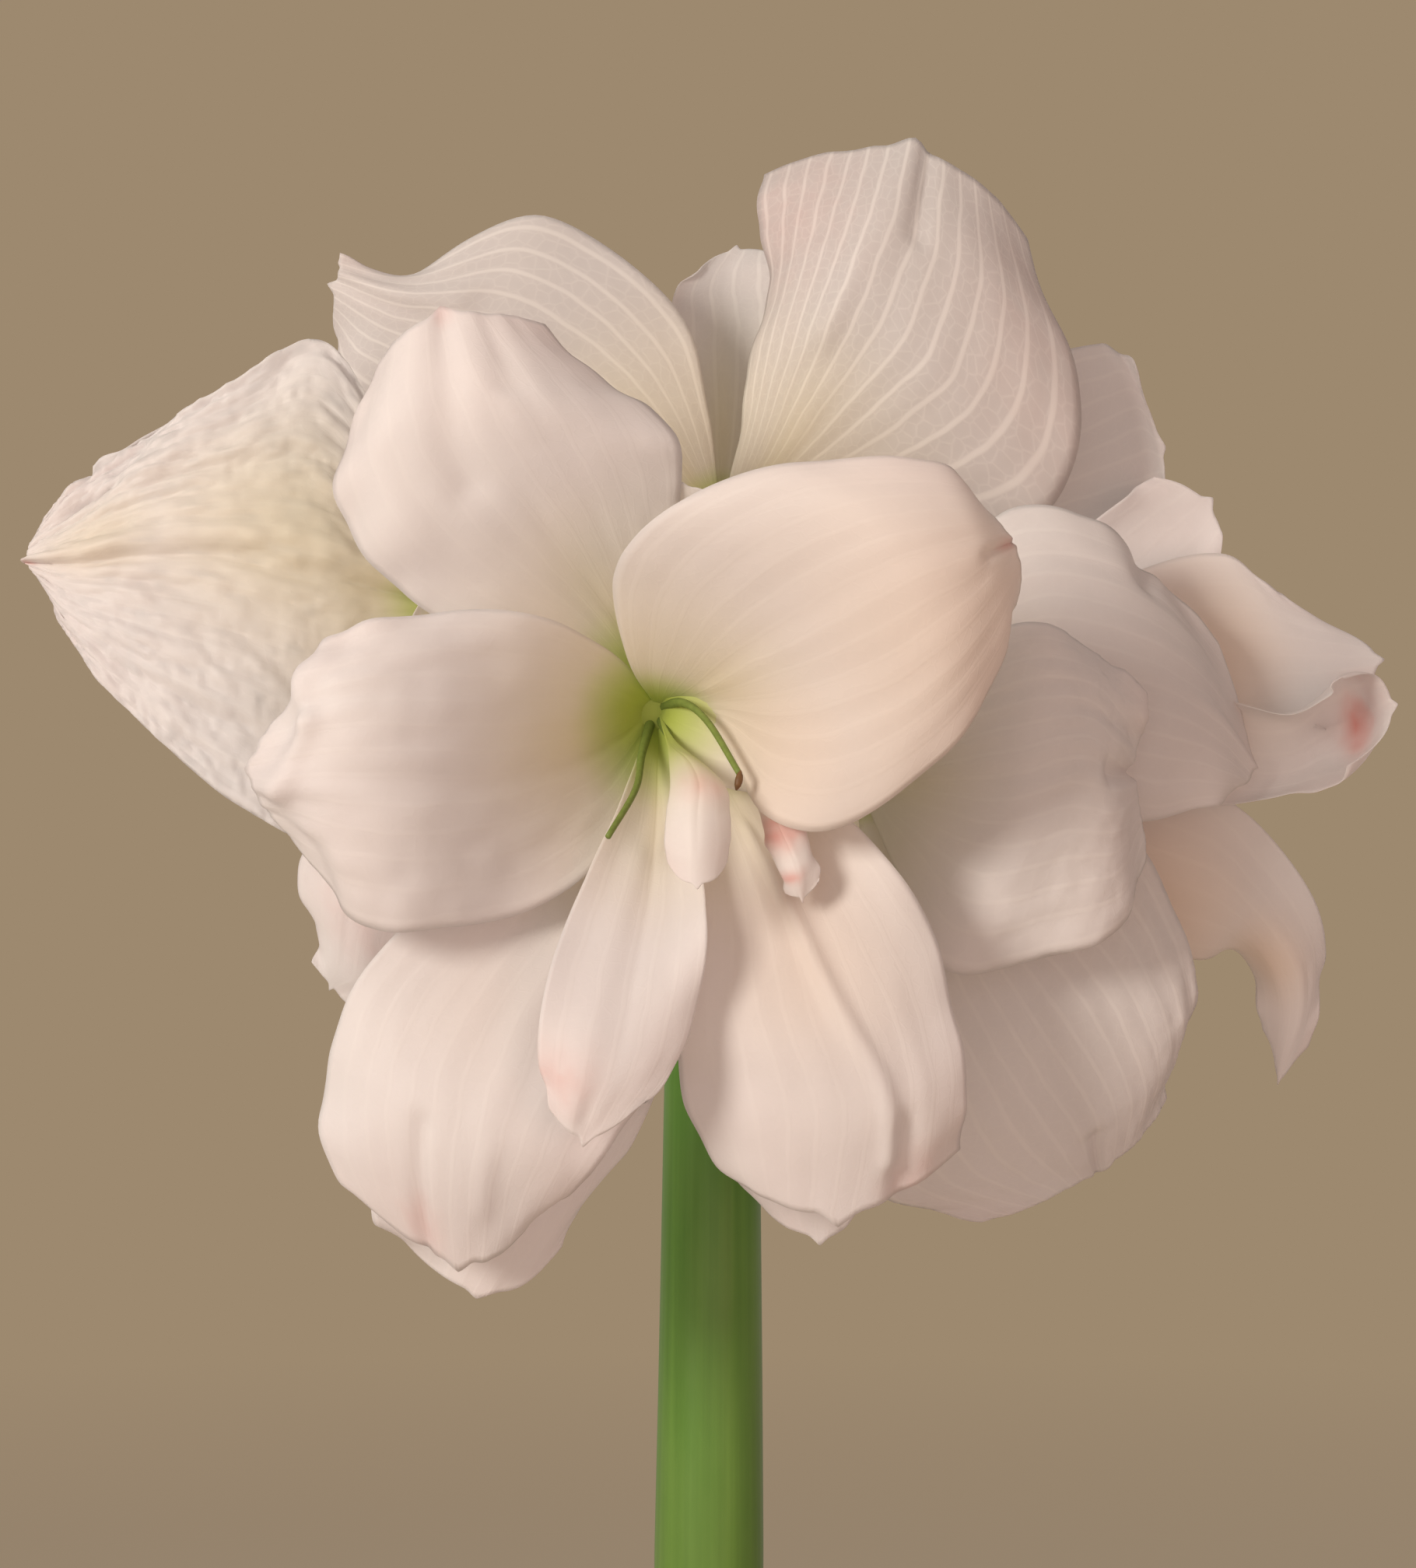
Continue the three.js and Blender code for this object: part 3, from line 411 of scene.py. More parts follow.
PETAL_LINES = {
    "front/upper_left": [
        -26, -66, 544, -18, -64, 552, -9, -68, 556,
        -47, -74, 549, -29, -78, 568, -5, -74, 574,
        -62, -78, 559, -39, -88, 581, -6, -76, 586,
        -72, -80, 578, -46, -92, 594, -16, -78, 597,
        -66, -80, 598, -51, -88, 611, -33, -80, 607,
    ],
    "front/left": [
        -17, -70, 544, -21, -64, 530, -18, -70, 509,
        -31, -86, 552, -37, -84, 526, -33, -82, 496,
        -51, -96, 553, -54, -100, 525, -52, -92, 492,
        -69, -98, 548, -70, -104, 525, -69, -92, 495,
        -77, -92, 539, -87, -94, 523, -79, -88, 510,
    ],
    "front/upper_right": [
        -16, -74, 545, -1, -68, 538, 2, -70, 530,
        -18, -92, 560, 11, -90, 543, 11, -84, 514,
        -9, -104, 571, 24, -106, 549, 25, -92, 511,
        14, -112, 580, 38, -116, 556, 42, -100, 523,
        39, -112, 579, 50, -114, 562, 55, -104, 544,
        52, -106, 572, 57, -106, 565, 60, -102, 556,
    ],
    "front/lower_left": [
        -29, -64, 518, -18, -60, 509, -8, -66, 506,
        -50, -76, 502, -30, -76, 490, -8, -78, 487,
        -69, -84, 479, -42, -88, 471, -7, -84, 466,
        -75, -84, 457, -47, -92, 452, -22, -86, 448,
        -66, -80, 439, -48, -82, 427, -33, -80, 434,
    ],
    "front/lower_left_back": [
        -26, -54, 513, -17, -50, 506, -5, -56, 503,
        -45, -62, 490, -26, -60, 481, -5, -64, 481,
        -63, -68, 463, -35, -68, 457, -9, -68, 462,
        -66, -70, 438, -38, -70, 435, -18, -68, 445,
        -62, -68, 430, -45, -68, 420, -32, -66, 424,
    ],
    "front/inner_bottom": [
        -16, -70, 520, -10, -66, 517, -5, -70, 518,
        -23, -84, 503, -11, -80, 500, -1, -84, 501,
        -30, -96, 485, -14, -94, 483, 0, -92, 490,
        -32, -102, 469, -17, -102, 467, -4, -96, 471,
        -29, -102, 459, -23, -102, 453, -14, -100, 459,
    ],
    "front/lower_right": [
        -6, -64, 517, 3, -60, 521, 13, -66, 524,
        -3, -76, 499, 14, -76, 499, 30, -78, 511,
        -6, -84, 478, 21, -88, 477, 44, -84, 491,
        -6, -82, 461, 27, -90, 459, 48, -84, 467,
        6, -78, 444, 25, -84, 436, 50, -80, 448,
    ],
    "front/lower_right_back": [
        -5, -52, 512, 5, -50, 512, 14, -54, 515,
        -2, -60, 490, 12, -58, 490, 31, -62, 495,
        -2, -64, 469, 18, -64, 468, 40, -64, 475,
        2, -64, 448, 21, -66, 446, 40, -64, 452,
        10, -62, 434, 22, -64, 430, 29, -62, 434,
    ],
    "front/top_back": [
        -17, -58, 544, -9, -56, 546, -2, -58, 544,
        -20, -66, 556, -8, -64, 560, 5, -66, 556,
        -18, -72, 568, -5, -70, 572, 6, -72, 568,
        -11, -74, 576, -5, -74, 578, 2, -74, 576,
    ],
    "front/left_back": [
        -22, -62, 540, -23, -60, 531, -20, -62, 520,
        -40, -72, 544, -42, -72, 526, -38, -72, 507,
        -58, -79, 541, -60, -81, 524, -58, -78, 506,
        -68, -81, 536, -71, -83, 523, -68, -80, 511,
    ],
    "front/staminode_white": [
        -8, -70, 528, -7, -72, 527, -6, -70, 528,
        -7, -90, 520, -2, -93, 521, 3, -90, 520,
        -8, -94, 514, -2, -98, 514, 4, -94, 514,
        -8, -96, 508, -2, -100, 507, 4, -96, 508,
        -7, -97, 502, -2, -100, 501, 3, -97, 502,
    ],
    "front/staminode_pink": [
        1, -62, 527, 3, -64, 528, 4, -62, 529,
        8, -75, 518, 10, -77, 519, 12, -75, 521,
        12, -81, 510, 14, -85, 511, 18, -81, 514,
        13, -84, 503, 17, -88, 504, 20, -84, 507,
        16, -85, 499, 18, -86, 498, 20, -85, 500,
    ],
    "left/far_left": [
        -63, -27, 585, -66, -29, 561, -63, -31, 528,
        -79, -31, 612, -80, -36, 565, -78, -39, 509,
        -100, -31, 601, -98, -38, 568, -95, -42, 515,
        -118, -30, 591, -117, -37, 568, -113, -41, 530,
        -130, -29, 582, -131, -34, 566, -128, -36, 546,
        -139, -29, 571, -141, -30, 566, -138, -31, 563,
    ],
    "left/far_left_back": [
        -63, -20, 580, -67, -16, 564, -65, -20, 538,
        -83, -18, 603, -84, -12, 571, -83, -18, 528,
        -102, -18, 600, -103, -12, 573, -100, -19, 531,
        -121, -20, 592, -119, -14, 574, -115, -20, 544,
        -129, -20, 584, -131, -18, 573, -128, -20, 556,
    ],
    "left/lower": [
        -66, -22, 538, -60, -24, 533, -52, -24, 529,
        -77, -26, 518, -67, -30, 512, -56, -28, 508,
        -84, -28, 504, -73, -34, 496, -63, -30, 489,
        -82, -28, 491, -75, -32, 484, -66, -28, 475,
        -81, -28, 481, -78, -28, 478, -76, -26, 475,
    ],
    "left/upper": [
        -59, -32, 569, -51, -28, 571, -42, -32, 569,
        -64, -42, 581, -49, -36, 587, -35, -42, 583,
        -64, -52, 593, -47, -46, 599, -32, -52, 595,
        -57, -58, 602, -46, -54, 606, -36, -56, 604,
    ],
    "left/near_upper": [
        -56, -36, 569, -51, -40, 562, -46, -36, 555,
        -61, -46, 577, -54, -54, 567, -49, -48, 556,
        -65, -54, 580, -58, -64, 568, -54, -57, 557,
        -66, -60, 575, -62, -66, 566, -58, -61, 558,
    ],
    "left/near_lower": [
        -56, -35, 548, -51, -38, 543, -43, -35, 543,
        -64, -44, 540, -56, -50, 532, -45, -45, 529,
        -71, -52, 532, -61, -59, 521, -48, -53, 517,
        -73, -56, 521, -66, -61, 512, -54, -57, 509,
    ],
    "right/upper_back": [
        49, -2, 546, 54, -1, 541, 59, -2, 535,
        71, 1, 567, 78, 2, 557, 86, 0, 546,
        88, 2, 581, 97, 4, 571, 103, 1, 557,
        98, 3, 587, 108, 4, 581, 112, 2, 571,
    ],
    "right/upper": [
        43, -34, 553, 49, -40, 540, 51, -42, 528,
        60, -36, 576, 68, -46, 548, 67, -48, 521,
        78, -34, 574, 85, -46, 545, 85, -48, 512,
        93, -30, 564, 101, -42, 537, 99, -44, 515,
        107, -28, 545, 112, -34, 524, 108, -36, 521,
    ],
    "right/rolled_back": [
        61, -8, 551, 63, -10, 543, 64, -14, 533,
        88, -6, 564, 89, -10, 546, 88, -14, 529,
        109, -10, 569, 113, -16, 546, 112, -20, 525,
        121, -12, 559, 127, -18, 546, 125, -22, 528,
        135, -12, 553, 141, -16, 546, 137, -18, 538,
    ],
    "right/rolled_front": [
        63, -26, 537, 62, -32, 529, 64, -30, 521,
        92, -26, 541, 91, -32, 528, 91, -30, 516,
        117, -34, 538, 117, -28, 525, 113, -32, 516,
        126, -36, 547, 132, -25, 531, 126, -35, 520,
        136, -36, 545, 141, -32, 536, 137, -35, 526,
    ],
    "right/drooping": [
        64, -18, 528, 62, -20, 518, 59, -18, 508,
        90, -18, 525, 86, -22, 508, 81, -18, 494,
        110, -16, 516, 105, -22, 500, 100, -16, 484,
        128, -12, 492, 119, -18, 487, 111, -12, 483,
        130, -10, 477, 124, -14, 474, 117, -10, 474,
        123, -8, 461, 121, -8, 457, 120, -8, 464,
    ],
    "right/near": [
        44, -44, 543, 45, -50, 520, 38, -44, 502,
        62, -60, 552, 60, -66, 521, 47, -60, 483,
        76, -60, 547, 73, -68, 524, 66, -62, 485,
        84, -60, 541, 80, -66, 521, 82, -60, 492,
        89, -56, 532, 85, -58, 521, 90, -56, 509,
    ],
    "right/lower": [
        59, -34, 515, 45, -36, 501, 32, -36, 494,
        84, -38, 512, 57, -44, 483, 32, -42, 471,
        97, -40, 491, 67, -48, 468, 30, -44, 450,
        98, -38, 472, 77, -46, 452, 35, -42, 435,
        94, -36, 451, 80, -40, 441, 62, -40, 431,
    ],
    "back/upper_left": [
        -18, 5, 582, -12, 2, 595, 0, 4, 600,
        -39, 4, 588, -30, -2, 608, -7, 0, 623,
        -58, 2, 595, -46, -6, 616, -35, -2, 641,
        -78, 0, 605, -66, -8, 620, -63, -6, 630,
        -81, -2, 616, -80, -6, 626, -79, -6, 632,
    ],
    "back/up_back": [
        -5, 16, 596, 3, 18, 598, 13, 16, 598,
        -8, 20, 614, 3, 24, 618, 15, 20, 617,
        -7, 24, 627, 2, 28, 630, 15, 24, 630,
        -1, 28, 636, 6, 30, 639, 14, 28, 639,
    ],
    "back/up_right": [
        5, 0, 588, 15, -4, 589, 28, -2, 578,
        8, -2, 603, 25, -10, 605, 51, -4, 573,
        11, 0, 621, 34, -14, 621, 74, -6, 578,
        12, 4, 637, 40, -12, 638, 79, -4, 604,
        11, 10, 654, 44, -4, 656, 69, 2, 640,
    ],
    "back/right": [
        26, 18, 590, 29, 18, 576, 29, 16, 562,
        53, 18, 607, 56, 18, 583, 52, 14, 562,
        77, 18, 615, 78, 16, 589, 77, 12, 567,
        88, 19, 616, 94, 17, 596, 96, 16, 568,
        93, 17, 609, 99, 15, 594, 100, 15, 579,
    ],
}
print("petals with lines of their own:", len(PETAL_LINES))

# %% [markdown]
# The petals at the back of the flower head follow one rule. Each leaves the heart along its bloom's
# own direction, bends over to its tip, and is widest at two thirds of its length.

# %% Rows of the petals at the back
BEND = 0.3  # how far along the bloom's axis the curve bends, as a share of its reach
INWARDS = 0.3  # how far the margins stand inwards, as a share of half the width there
STATIONS = [(0.25, 0.32), (0.48, 0.8), (0.7, 1.0), (0.88, 0.82), (1.0, 0.42)]  # place, share of the width


def rows_at_the_back(bloom, tip, width):
    """Rows of margin, midrib and margin along a quadratic Bezier curve from the heart to the tip."""
    heart, axis = np.array(bloom["heart"], float), unit(np.array(bloom["axis"], float))
    tip = np.array(tip, float)
    reach = tip - heart
    bend = heart + axis * np.linalg.norm(reach) * BEND
    across = unit(np.cross(axis, reach))
    rows = []
    for u, share in STATIONS:
        centre = (1 - u) ** 2 * heart + 2 * u * (1 - u) * bend + u**2 * tip
        forward = unit((1 - u) * (bend - heart) + u * (tip - bend))
        inward = np.cross(across, forward)
        half = width / 2 * share
        rows.append([centre + across * v * half - inward * INWARDS * half * abs(v) for v in (-1, 0, 1)])
    return rows


print("petals at the back:", sum(len(bloom["hidden"]) for bloom in BLOOMS.values()))

# %% [markdown]
# Between its three curves a petal is a parabola across. What makes it look grown and not pressed
# comes on top: the margins wave and wander a little, a shallow groove follows the midrib, broad
# pleats run with the veins, and thin tissue crinkles. Each petal also has looks of its own, such as
# a fold that runs into its tip, a margin that rolls over or a flush of pink, and a table keeps these
# by petal. A place on a petal is (u, v): u from 0 at the base to 1 at the tip, v from -1 to 1 across.

# %% Looks of single petals
# creases: from place, to place, height in mm towards the inner face, half width in mm
# bulges: place, reach along in mm, reach across in mm, height in mm
# rolls: side of v, share of the half width where it starts, radius in mm, place along where it is full
# pleats, crinkles, fine_crinkles: heights in mm. The fine ones are about a millimetre apart
# finer: how many times the usual number of points each way
# rounding: how much the corners of the tip are cut back, as a share of the length
# waving: how much of the usual waving and wandering the margins have
# veins: how clearly they show, and how much greyer the tissue between them is, partly as see-through tissue
# and partly as painted shade. green: how far the throat's green reaches, by its usual reach
# pink, cream, peach: soft spots of that colour, each a place, a radius in mm and a strength. The cream
# spots are a painted band of light
USUAL_LOOK = dict(
    creases=[], bulges=[], rolls=[], pink=[], cream=[], peach=[], pleats=0.1, crinkles=0.18,
    fine_crinkles=0.0, finer=1.0, rounding=0.035, waving=1.0, veins=0.18, green=1.0,
)
LOOKS = {
    "front/upper_left": dict(
        creases=[(1.0, 0.0, 0.6, -0.25, -1.6, 4.5), (1.0, 0.45, 0.8, 0.3, -0.8, 3.0)],
        bulges=[
            (0.84, -0.6, 9, 7, 1.4), (0.62, -0.75, 8, 6, 1.8), (0.72, -0.95, 4, 4, -1.2),
            (0.92, -0.9, 4, 4, 1.2),
        ],
        crinkles=0.3, rounding=0.0, pink=[(1.0, 0.0, 3.5, 0.35)],
    ),
    "front/left": dict(
        creases=[
            (0.1, 0.2, 0.85, 0.12, -0.5, 2.2), (0.92, -0.95, 0.86, -0.3, 1.3, 2.2),
            (0.86, -0.3, 0.93, 0.3, 1.3, 2.2),
        ],
        bulges=[
            (0.88, -0.75, 5, 6, 2.4), (0.93, -0.3, 4, 5, -2.0), (0.95, 0.2, 4, 5, 2.0),
            (0.8, -0.95, 5, 4, -1.5), (0.9, 0.7, 6, 5, -1.2),
        ],
        crinkles=0.75,
    ),
    "front/upper_right": dict(
        creases=[(0.2, 0.0, 0.85, 0.0, 0.5, 3.0), (1.0, 0.0, 0.86, 0.03, -1.5, 2.4)], pleats=0.14,
        green=0.75, pink=[(0.97, 0.0, 4, 0.4)], peach=[(0.7, 0.3, 40, 0.6), (0.35, 0.6, 22, 0.6)],
    ),
    "front/lower_left": dict(
        creases=[(1.0, -0.35, 0.78, -0.28, -1.3, 2.2), (0.3, 0.1, 0.9, 0.2, 0.5, 3.0)], crinkles=0.25,
        pleats=0.12, pink=[(0.96, -0.35, 7, 0.25)], peach=[(0.5, 0.0, 20, 0.2)],
    ),
    "front/inner_bottom": dict(
        creases=[(0.35, -0.35, 0.95, -0.5, 0.8, 3.5)], pleats=0.04, rounding=0.0, waving=0.6,
        pink=[(0.86, -0.85, 9, 0.3)],
    ),
    "front/lower_right": dict(
        creases=[
            (0.3, -0.05, 0.92, 0.35, 1.5, 1.7), (0.45, 0.4, 0.85, 0.62, 0.3, 2.4),
            (1.0, 0.5, 0.87, 0.45, -1.8, 3.0),
        ],
        pleats=0.12, rounding=0.0, pink=[(0.98, 0.6, 8, 0.2)], peach=[(0.5, 0.05, 22, 0.55)],
    ),
    "front/staminode_white": dict(
        bulges=[(0.3, 0.0, 5, 5, 1.2)], rounding=0.1, pleats=0.03, waving=0.15, green=1.8,
        pink=[(0.44, 0.1, 4.2, 0.4)],
    ),
    "front/staminode_pink": dict(
        rolls=[(-1, 0.15, 1.5, 0.55), (1, 0.25, 1.6, 0.55)],
        pink=[(0.6, 0.0, 5, 0.9), (0.85, -0.4, 2.5, 0.6)],
    ),
    "left/far_left": dict(
        creases=[
            (0.08, 0.04, 1.0, 0.03, -1.9, 2.2), (0.1, -0.1, 0.95, -0.05, 2.2, 4.5),
            (0.35, -1.0, 0.55, -0.55, -1.6, 4.0), (0.62, -1.0, 0.72, -0.6, -1.4, 3.0),
        ],
        bulges=[(0.6, -0.62, 14, 7, 2.4), (0.5, 0.55, 22, 8, 1.6), (0.8, -0.62, 6, 4, -2.0)],
        crinkles=1.6, fine_crinkles=1.05, pleats=0.35, waving=0.75, finer=2.2, veins=0.2, green=1.4,
        # The cream spots along the upper side of its midrib are a painted band of sunlight.
        pink=[(1.0, 0.05, 4, 0.7)], cream=[(0.35, -0.12, 24, 0.9), (0.75, -0.15, 16, 0.6)],
    ),
    "left/far_left_back": dict(crinkles=0.6),
    "left/lower": dict(pink=[(0.6, 0.3, 14, 0.2)]),
    "right/upper": dict(
        creases=[(0.77, -1.0, 0.7, -0.7, -2.0, 2.5), (1.0, 0.1, 0.8, 0.05, 0.8, 3.0)], pleats=0.28,
        crinkles=0.2, veins=0.35,
    ),
    "right/rolled_back": dict(
        rolls=[(1, 0.5, 5, 0.9)], pleats=0.06, rounding=0.18, waving=0.5, peach=[(0.5, 0.0, 20, 0.9)],
    ),
    "right/rolled_front": dict(
        bulges=[(0.86, 0.1, 10, 9, -3.0)], rolls=[(-1, 0.5, 3.0, 0.8)], pleats=0.06, rounding=0.09,
        waving=0.5, veins=0.3, pink=[(0.84, 0.0, 4.5, 1.0), (0.92, -0.5, 8, 0.2)],
        peach=[(0.4, -0.6, 16, 0.6)],
    ),
    "right/drooping": dict(
        rolls=[(-1, 0.5, 4.5, 0.6)], crinkles=0.35, veins=0.3,
        peach=[(0.4, 0.6, 20, 0.9), (0.7, 0.4, 14, 0.8)],
    ),
    "right/near": dict(
        creases=[(1.0, -0.1, 0.78, -0.05, -2.4, 4.0), (0.9, -0.55, 0.6, -0.4, -0.8, 3.5)],
        bulges=[(0.93, -0.8, 5, 5, 1.8)], pleats=0.2, crinkles=0.25, fine_crinkles=0.3, finer=1.3,
        veins=0.35,
    ),
    # Its clear veins also grey this petal as painted shade, since it lies in the shade of the petals before
    # it.
    "right/lower": dict(
        creases=[(1.0, 0.02, 0.86, 0.0, -2.2, 2.4)], pleats=0.35, crinkles=0.2, fine_crinkles=0.3,
        finer=1.3, veins=0.5,
    ),
    "back/upper_left": dict(
        creases=[(1.0, 0.4, 0.7, 0.25, -1.2, 3.5)], pleats=0.18, crinkles=0.2, rounding=0.0, veins=0.9,
    ),
    "back/up_back": dict(veins=0.7),
    "back/up_right": dict(
        creases=[
            (1.0, 0.0, 0.5, -0.2, -1.7, 4.5), (1.0, 0.1, 0.8, 0.12, 1.7, 2.0),
            (1.0, -0.45, 0.75, -0.5, 0.9, 4.0),
        ],
        pleats=0.2, rounding=0.008, veins=1.0, pink=[(0.8, -0.8, 22, 0.2), (0.8, 0.9, 22, 0.12)],
    ),
    "back/right": dict(veins=0.5),
}
print("petals with looks of their own:", len(LOOKS))

# %% [markdown]
# A petal's creases and bulges are heights over its surface. A rolled margin is the surface itself,
# wound round a rod.

# %% Creases, bulges and rolled margins
ROLL_START = 0.15  # place along a petal where its margin begins to roll


def relief_of(look, mm_along, mm_across, length, half_width):
    """Height in mm of a petal's own creases and bulges.

    A crease is height * exp(-(d / width)^2) at a distance d from its line, and a bulge is
    height * exp(-(x / reach along)^2 - (y / reach across)^2) round its place.
    """
    height = 0 * (mm_along + mm_across)
    size = np.array([length, half_width])
    for *ends, crease_height, width in look["creases"]:
        a, b = np.array(ends[:2]) * size, np.array(ends[2:]) * size
        step = b - a
        along, across = mm_along - a[0], mm_across - a[1]
        t = np.clip((along * step[0] + across * step[1]) / (step @ step), 0, 1)
        distance = np.hypot(along - t * step[0], across - t * step[1])
        height = height + crease_height * np.exp(-((distance / width) ** 2))
    for u, v, reach_along, reach_across, bulge_height in look["bulges"]:
        x, y = (mm_along - u * length) / reach_along, (mm_across - v * half_width) / reach_across
        height = height + bulge_height * np.exp(-(x**2) - y**2)
    return height


def roll_margin(grid, inner, reach, u, v, side, start, radius, full):
    """The petal with the outer part of one side wound round a rod of that radius.

    Beyond start, a point at a further distance s across moves to radius * sin(s / radius) across
    and radius * (1 - cos(s / radius)) towards the inner face. The roll grows along the petal.
    """
    half = np.linalg.norm(reach, axis=-1)
    outwards = unit(reach) * side
    s = np.maximum(side * v * half - start * half, 0)
    amount = (smooth_step(u, ROLL_START, full) + 0 * v)[..., None]
    sideways = (radius * np.sin(s / radius) - s)[..., None] * outwards
    inwards = (radius * (1 - np.cos(s / radius)))[..., None] * inner
    return grid + amount * (sideways + inwards)


def sheet_between(rows, u, v):
    """Points of a sheet with margins a and b and midrib m at u, and a, m and b themselves.

    The point is m + v (b - a) / 2 + v^2 ((a + b) / 2 - m).
    """
    curves = smooth_curve(rows, u.ravel()).reshape(*u.shape, 3, 3)
    a, m, b = curves[:, :, 0], curves[:, :, 1], curves[:, :, 2]
    v = v[..., None]
    return m + v * (b - a) / 2 + v**2 * ((a + b) / 2 - m), a, m, b


# %% [markdown]
# The petal itself comes in three steps: the sheet between its curves, with a frayed tip and a
# margin that wanders, then the margins that roll, then everything that stands on the sheet. Two
# sheets half a thickness to each side of it make the closed shell.

# %% Petal surface
POINTS_ALONG, POINTS_ACROSS = 76, 45
PETAL_THICKNESS = 0.5
CLAW = 0.06  # share of the way from the heart at which a petal's base lies
WANDER, NIBBLE = 0.026, 0.008  # how much slow and quick turns of the margin take off the half width
TIP_CUT, TIP_FRAY = 0.012, 0.007  # how much is taken off the tip evenly and unevenly, by length
NIB, NIB_MM, NIB_WIDTH = 0.014, 1.0, 0.13  # small point: by length, but at most so many mm
RUFFLE, FRILL = 0.022, 0.004  # heights of the margin's slow and quick waves, by length
RUFFLES, FRILLS = 2.4, 7.3  # how many of them a margin has
GROOVE, GROOVE_WIDTH = 0.22, 0.08  # over the midrib, its depth in mm and its width by half the petal's
PLEAT_SPACING = 7.0
SWELL = 0.5  # height in mm of the broad swellings


def petal_surface(rows, heart, axis, number, look):
    """The middle surface of a petal: its points, their unit normals, u, v, its length and its width.

    The corners of the tip are rounded by taking rounding * u^6 v^4 off u, and its middle is drawn
    out by u^8 exp(-(v / 0.13)^2). Along the normal the margin waves by
    u^0.8 |v|^2.5 sin(2 pi 2.4 u + phase) and less by u |v|^5 sin(2 pi 7.3 u + 3.1 phase), both times
    the petal's own waving. Towards the inner face stand the groove, the pleats, the swellings, the
    crinkles, and the petal's creases and bulges.
    """
    rows = np.concatenate([[heart + (rows[0] - heart) * CLAW], rows])
    length = np.linalg.norm(rows[-1, 1] - heart)
    width = np.linalg.norm(rows[:, 0] - rows[:, 2], axis=1).max()
    phase, waving = 2.1 * number, look["waving"]
    u = np.linspace(0, 1, int(POINTS_ALONG * look["finer"]))[:, None]
    v = np.linspace(-1, 1, int(POINTS_ACROSS * look["finer"]))[None, :]
    side = np.where(v > 0, 1.0, 0.0)

    wander = 0.5 + 0.5 * unevenness(u * 7 + side * 9, side * 3 + 0.4, number + 0.3)
    nibble = 0.5 + 0.5 * unevenness(u * 26 + side * 9, side * 3 + 0.4, number + 5.3)
    reach_v = v * (1 - waving * u * (WANDER * wander + NIBBLE * nibble) * np.abs(v))
    middle = 0.5 + 0 * u
    frayed = unevenness(v * 2.5 + number, middle, number + 2.2)
    frayed = frayed + 0.4 * unevenness(v * 7, middle, number + 8.1)
    cut = TIP_CUT + TIP_FRAY * (frayed * waving)
    reach_u = u - u**9 * cut * np.minimum(1, 6 * np.abs(v)) - look["rounding"] * u**6 * v**4
    grid, margin_a, midrib, margin_b = sheet_between(rows, reach_u, reach_v)
    forward = unit(np.gradient(midrib[:, v.size // 2], axis=0))[:, None, :]
    grid = grid + forward * (min(length * NIB, NIB_MM) * u**8 * np.exp(-((v / NIB_WIDTH) ** 2)))[..., None]

    normals = surface_normals(grid)
    inner = normals * np.sign((normals @ axis).mean())
    for roll in look["rolls"]:
        grid = roll_margin(grid, inner, (margin_b - margin_a) / 2, u, reach_v, *roll)
    normals = surface_normals(grid)
    inner = normals * np.sign(np.einsum("ijk,ijk->ij", normals, inner).mean())

    mm_along, mm_across = u * length, v * width / 2
    wave = np.sin(2 * np.pi * RUFFLES * u + phase + 1.7 * side)
    ruffle = length * RUFFLE * u**0.8 * np.abs(v) ** 2.5 * wave
    frill = length * FRILL * u * np.abs(v) ** 5 * np.sin(2 * np.pi * FRILLS * u + 3.1 * phase + 2.6 * side)
    groove = -GROOVE * np.exp(-((v / GROOVE_WIDTH) ** 2)) * np.sin(np.pi * np.minimum(u * 1.15, 1))
    pleat_phase = 2 * np.pi * mm_across / PLEAT_SPACING + phase + 2.2 * unevenness(u * 2.5, v * 1.5, number)
    pleat_share = 0.5 + 0.5 * unevenness(v * 2 + 3, u * 1.5, number + 9)
    pleats = look["pleats"] * np.sin(pleat_phase) * np.sin(np.pi * u) * pleat_share
    swell = SWELL * unevenness(mm_along / 13, mm_across / 14, number + 1.7)
    streaks = unevenness(mm_along / 11, mm_across / 3.4, number + 6.4)
    lumps = unevenness(mm_along / 4.1, mm_across / 3.6, number + 4.9) * (0.3 + 0.7 * np.abs(v))
    fine_streaks = unevenness(mm_along / 3.2, mm_across / 0.95, number + 2.8)
    fine_lumps = unevenness(mm_along / 1.15, mm_across / 1.1, number + 7.7) * np.abs(v)
    room = np.minimum(1, 1.6 * (np.linalg.norm(margin_b - margin_a, axis=-1) / width))
    crinkles = look["crinkles"] * (0.75 * streaks + 0.5 * lumps) * (0.25 + 0.75 * u) * room
    fine = look["fine_crinkles"] * (0.6 * fine_streaks + 0.5 * fine_lumps)
    fine = fine * smooth_step(u, 0.05, 0.4) * room
    lift = groove + pleats + swell * u + crinkles + fine
    lift = lift + relief_of(look, mm_along, mm_across, length, width / 2)
    grid = grid + inner * lift[..., None] + normals * (waving * (ruffle + frill))[..., None]
    return grid, surface_normals(grid), u + 0 * v, v + 0 * u, length, width


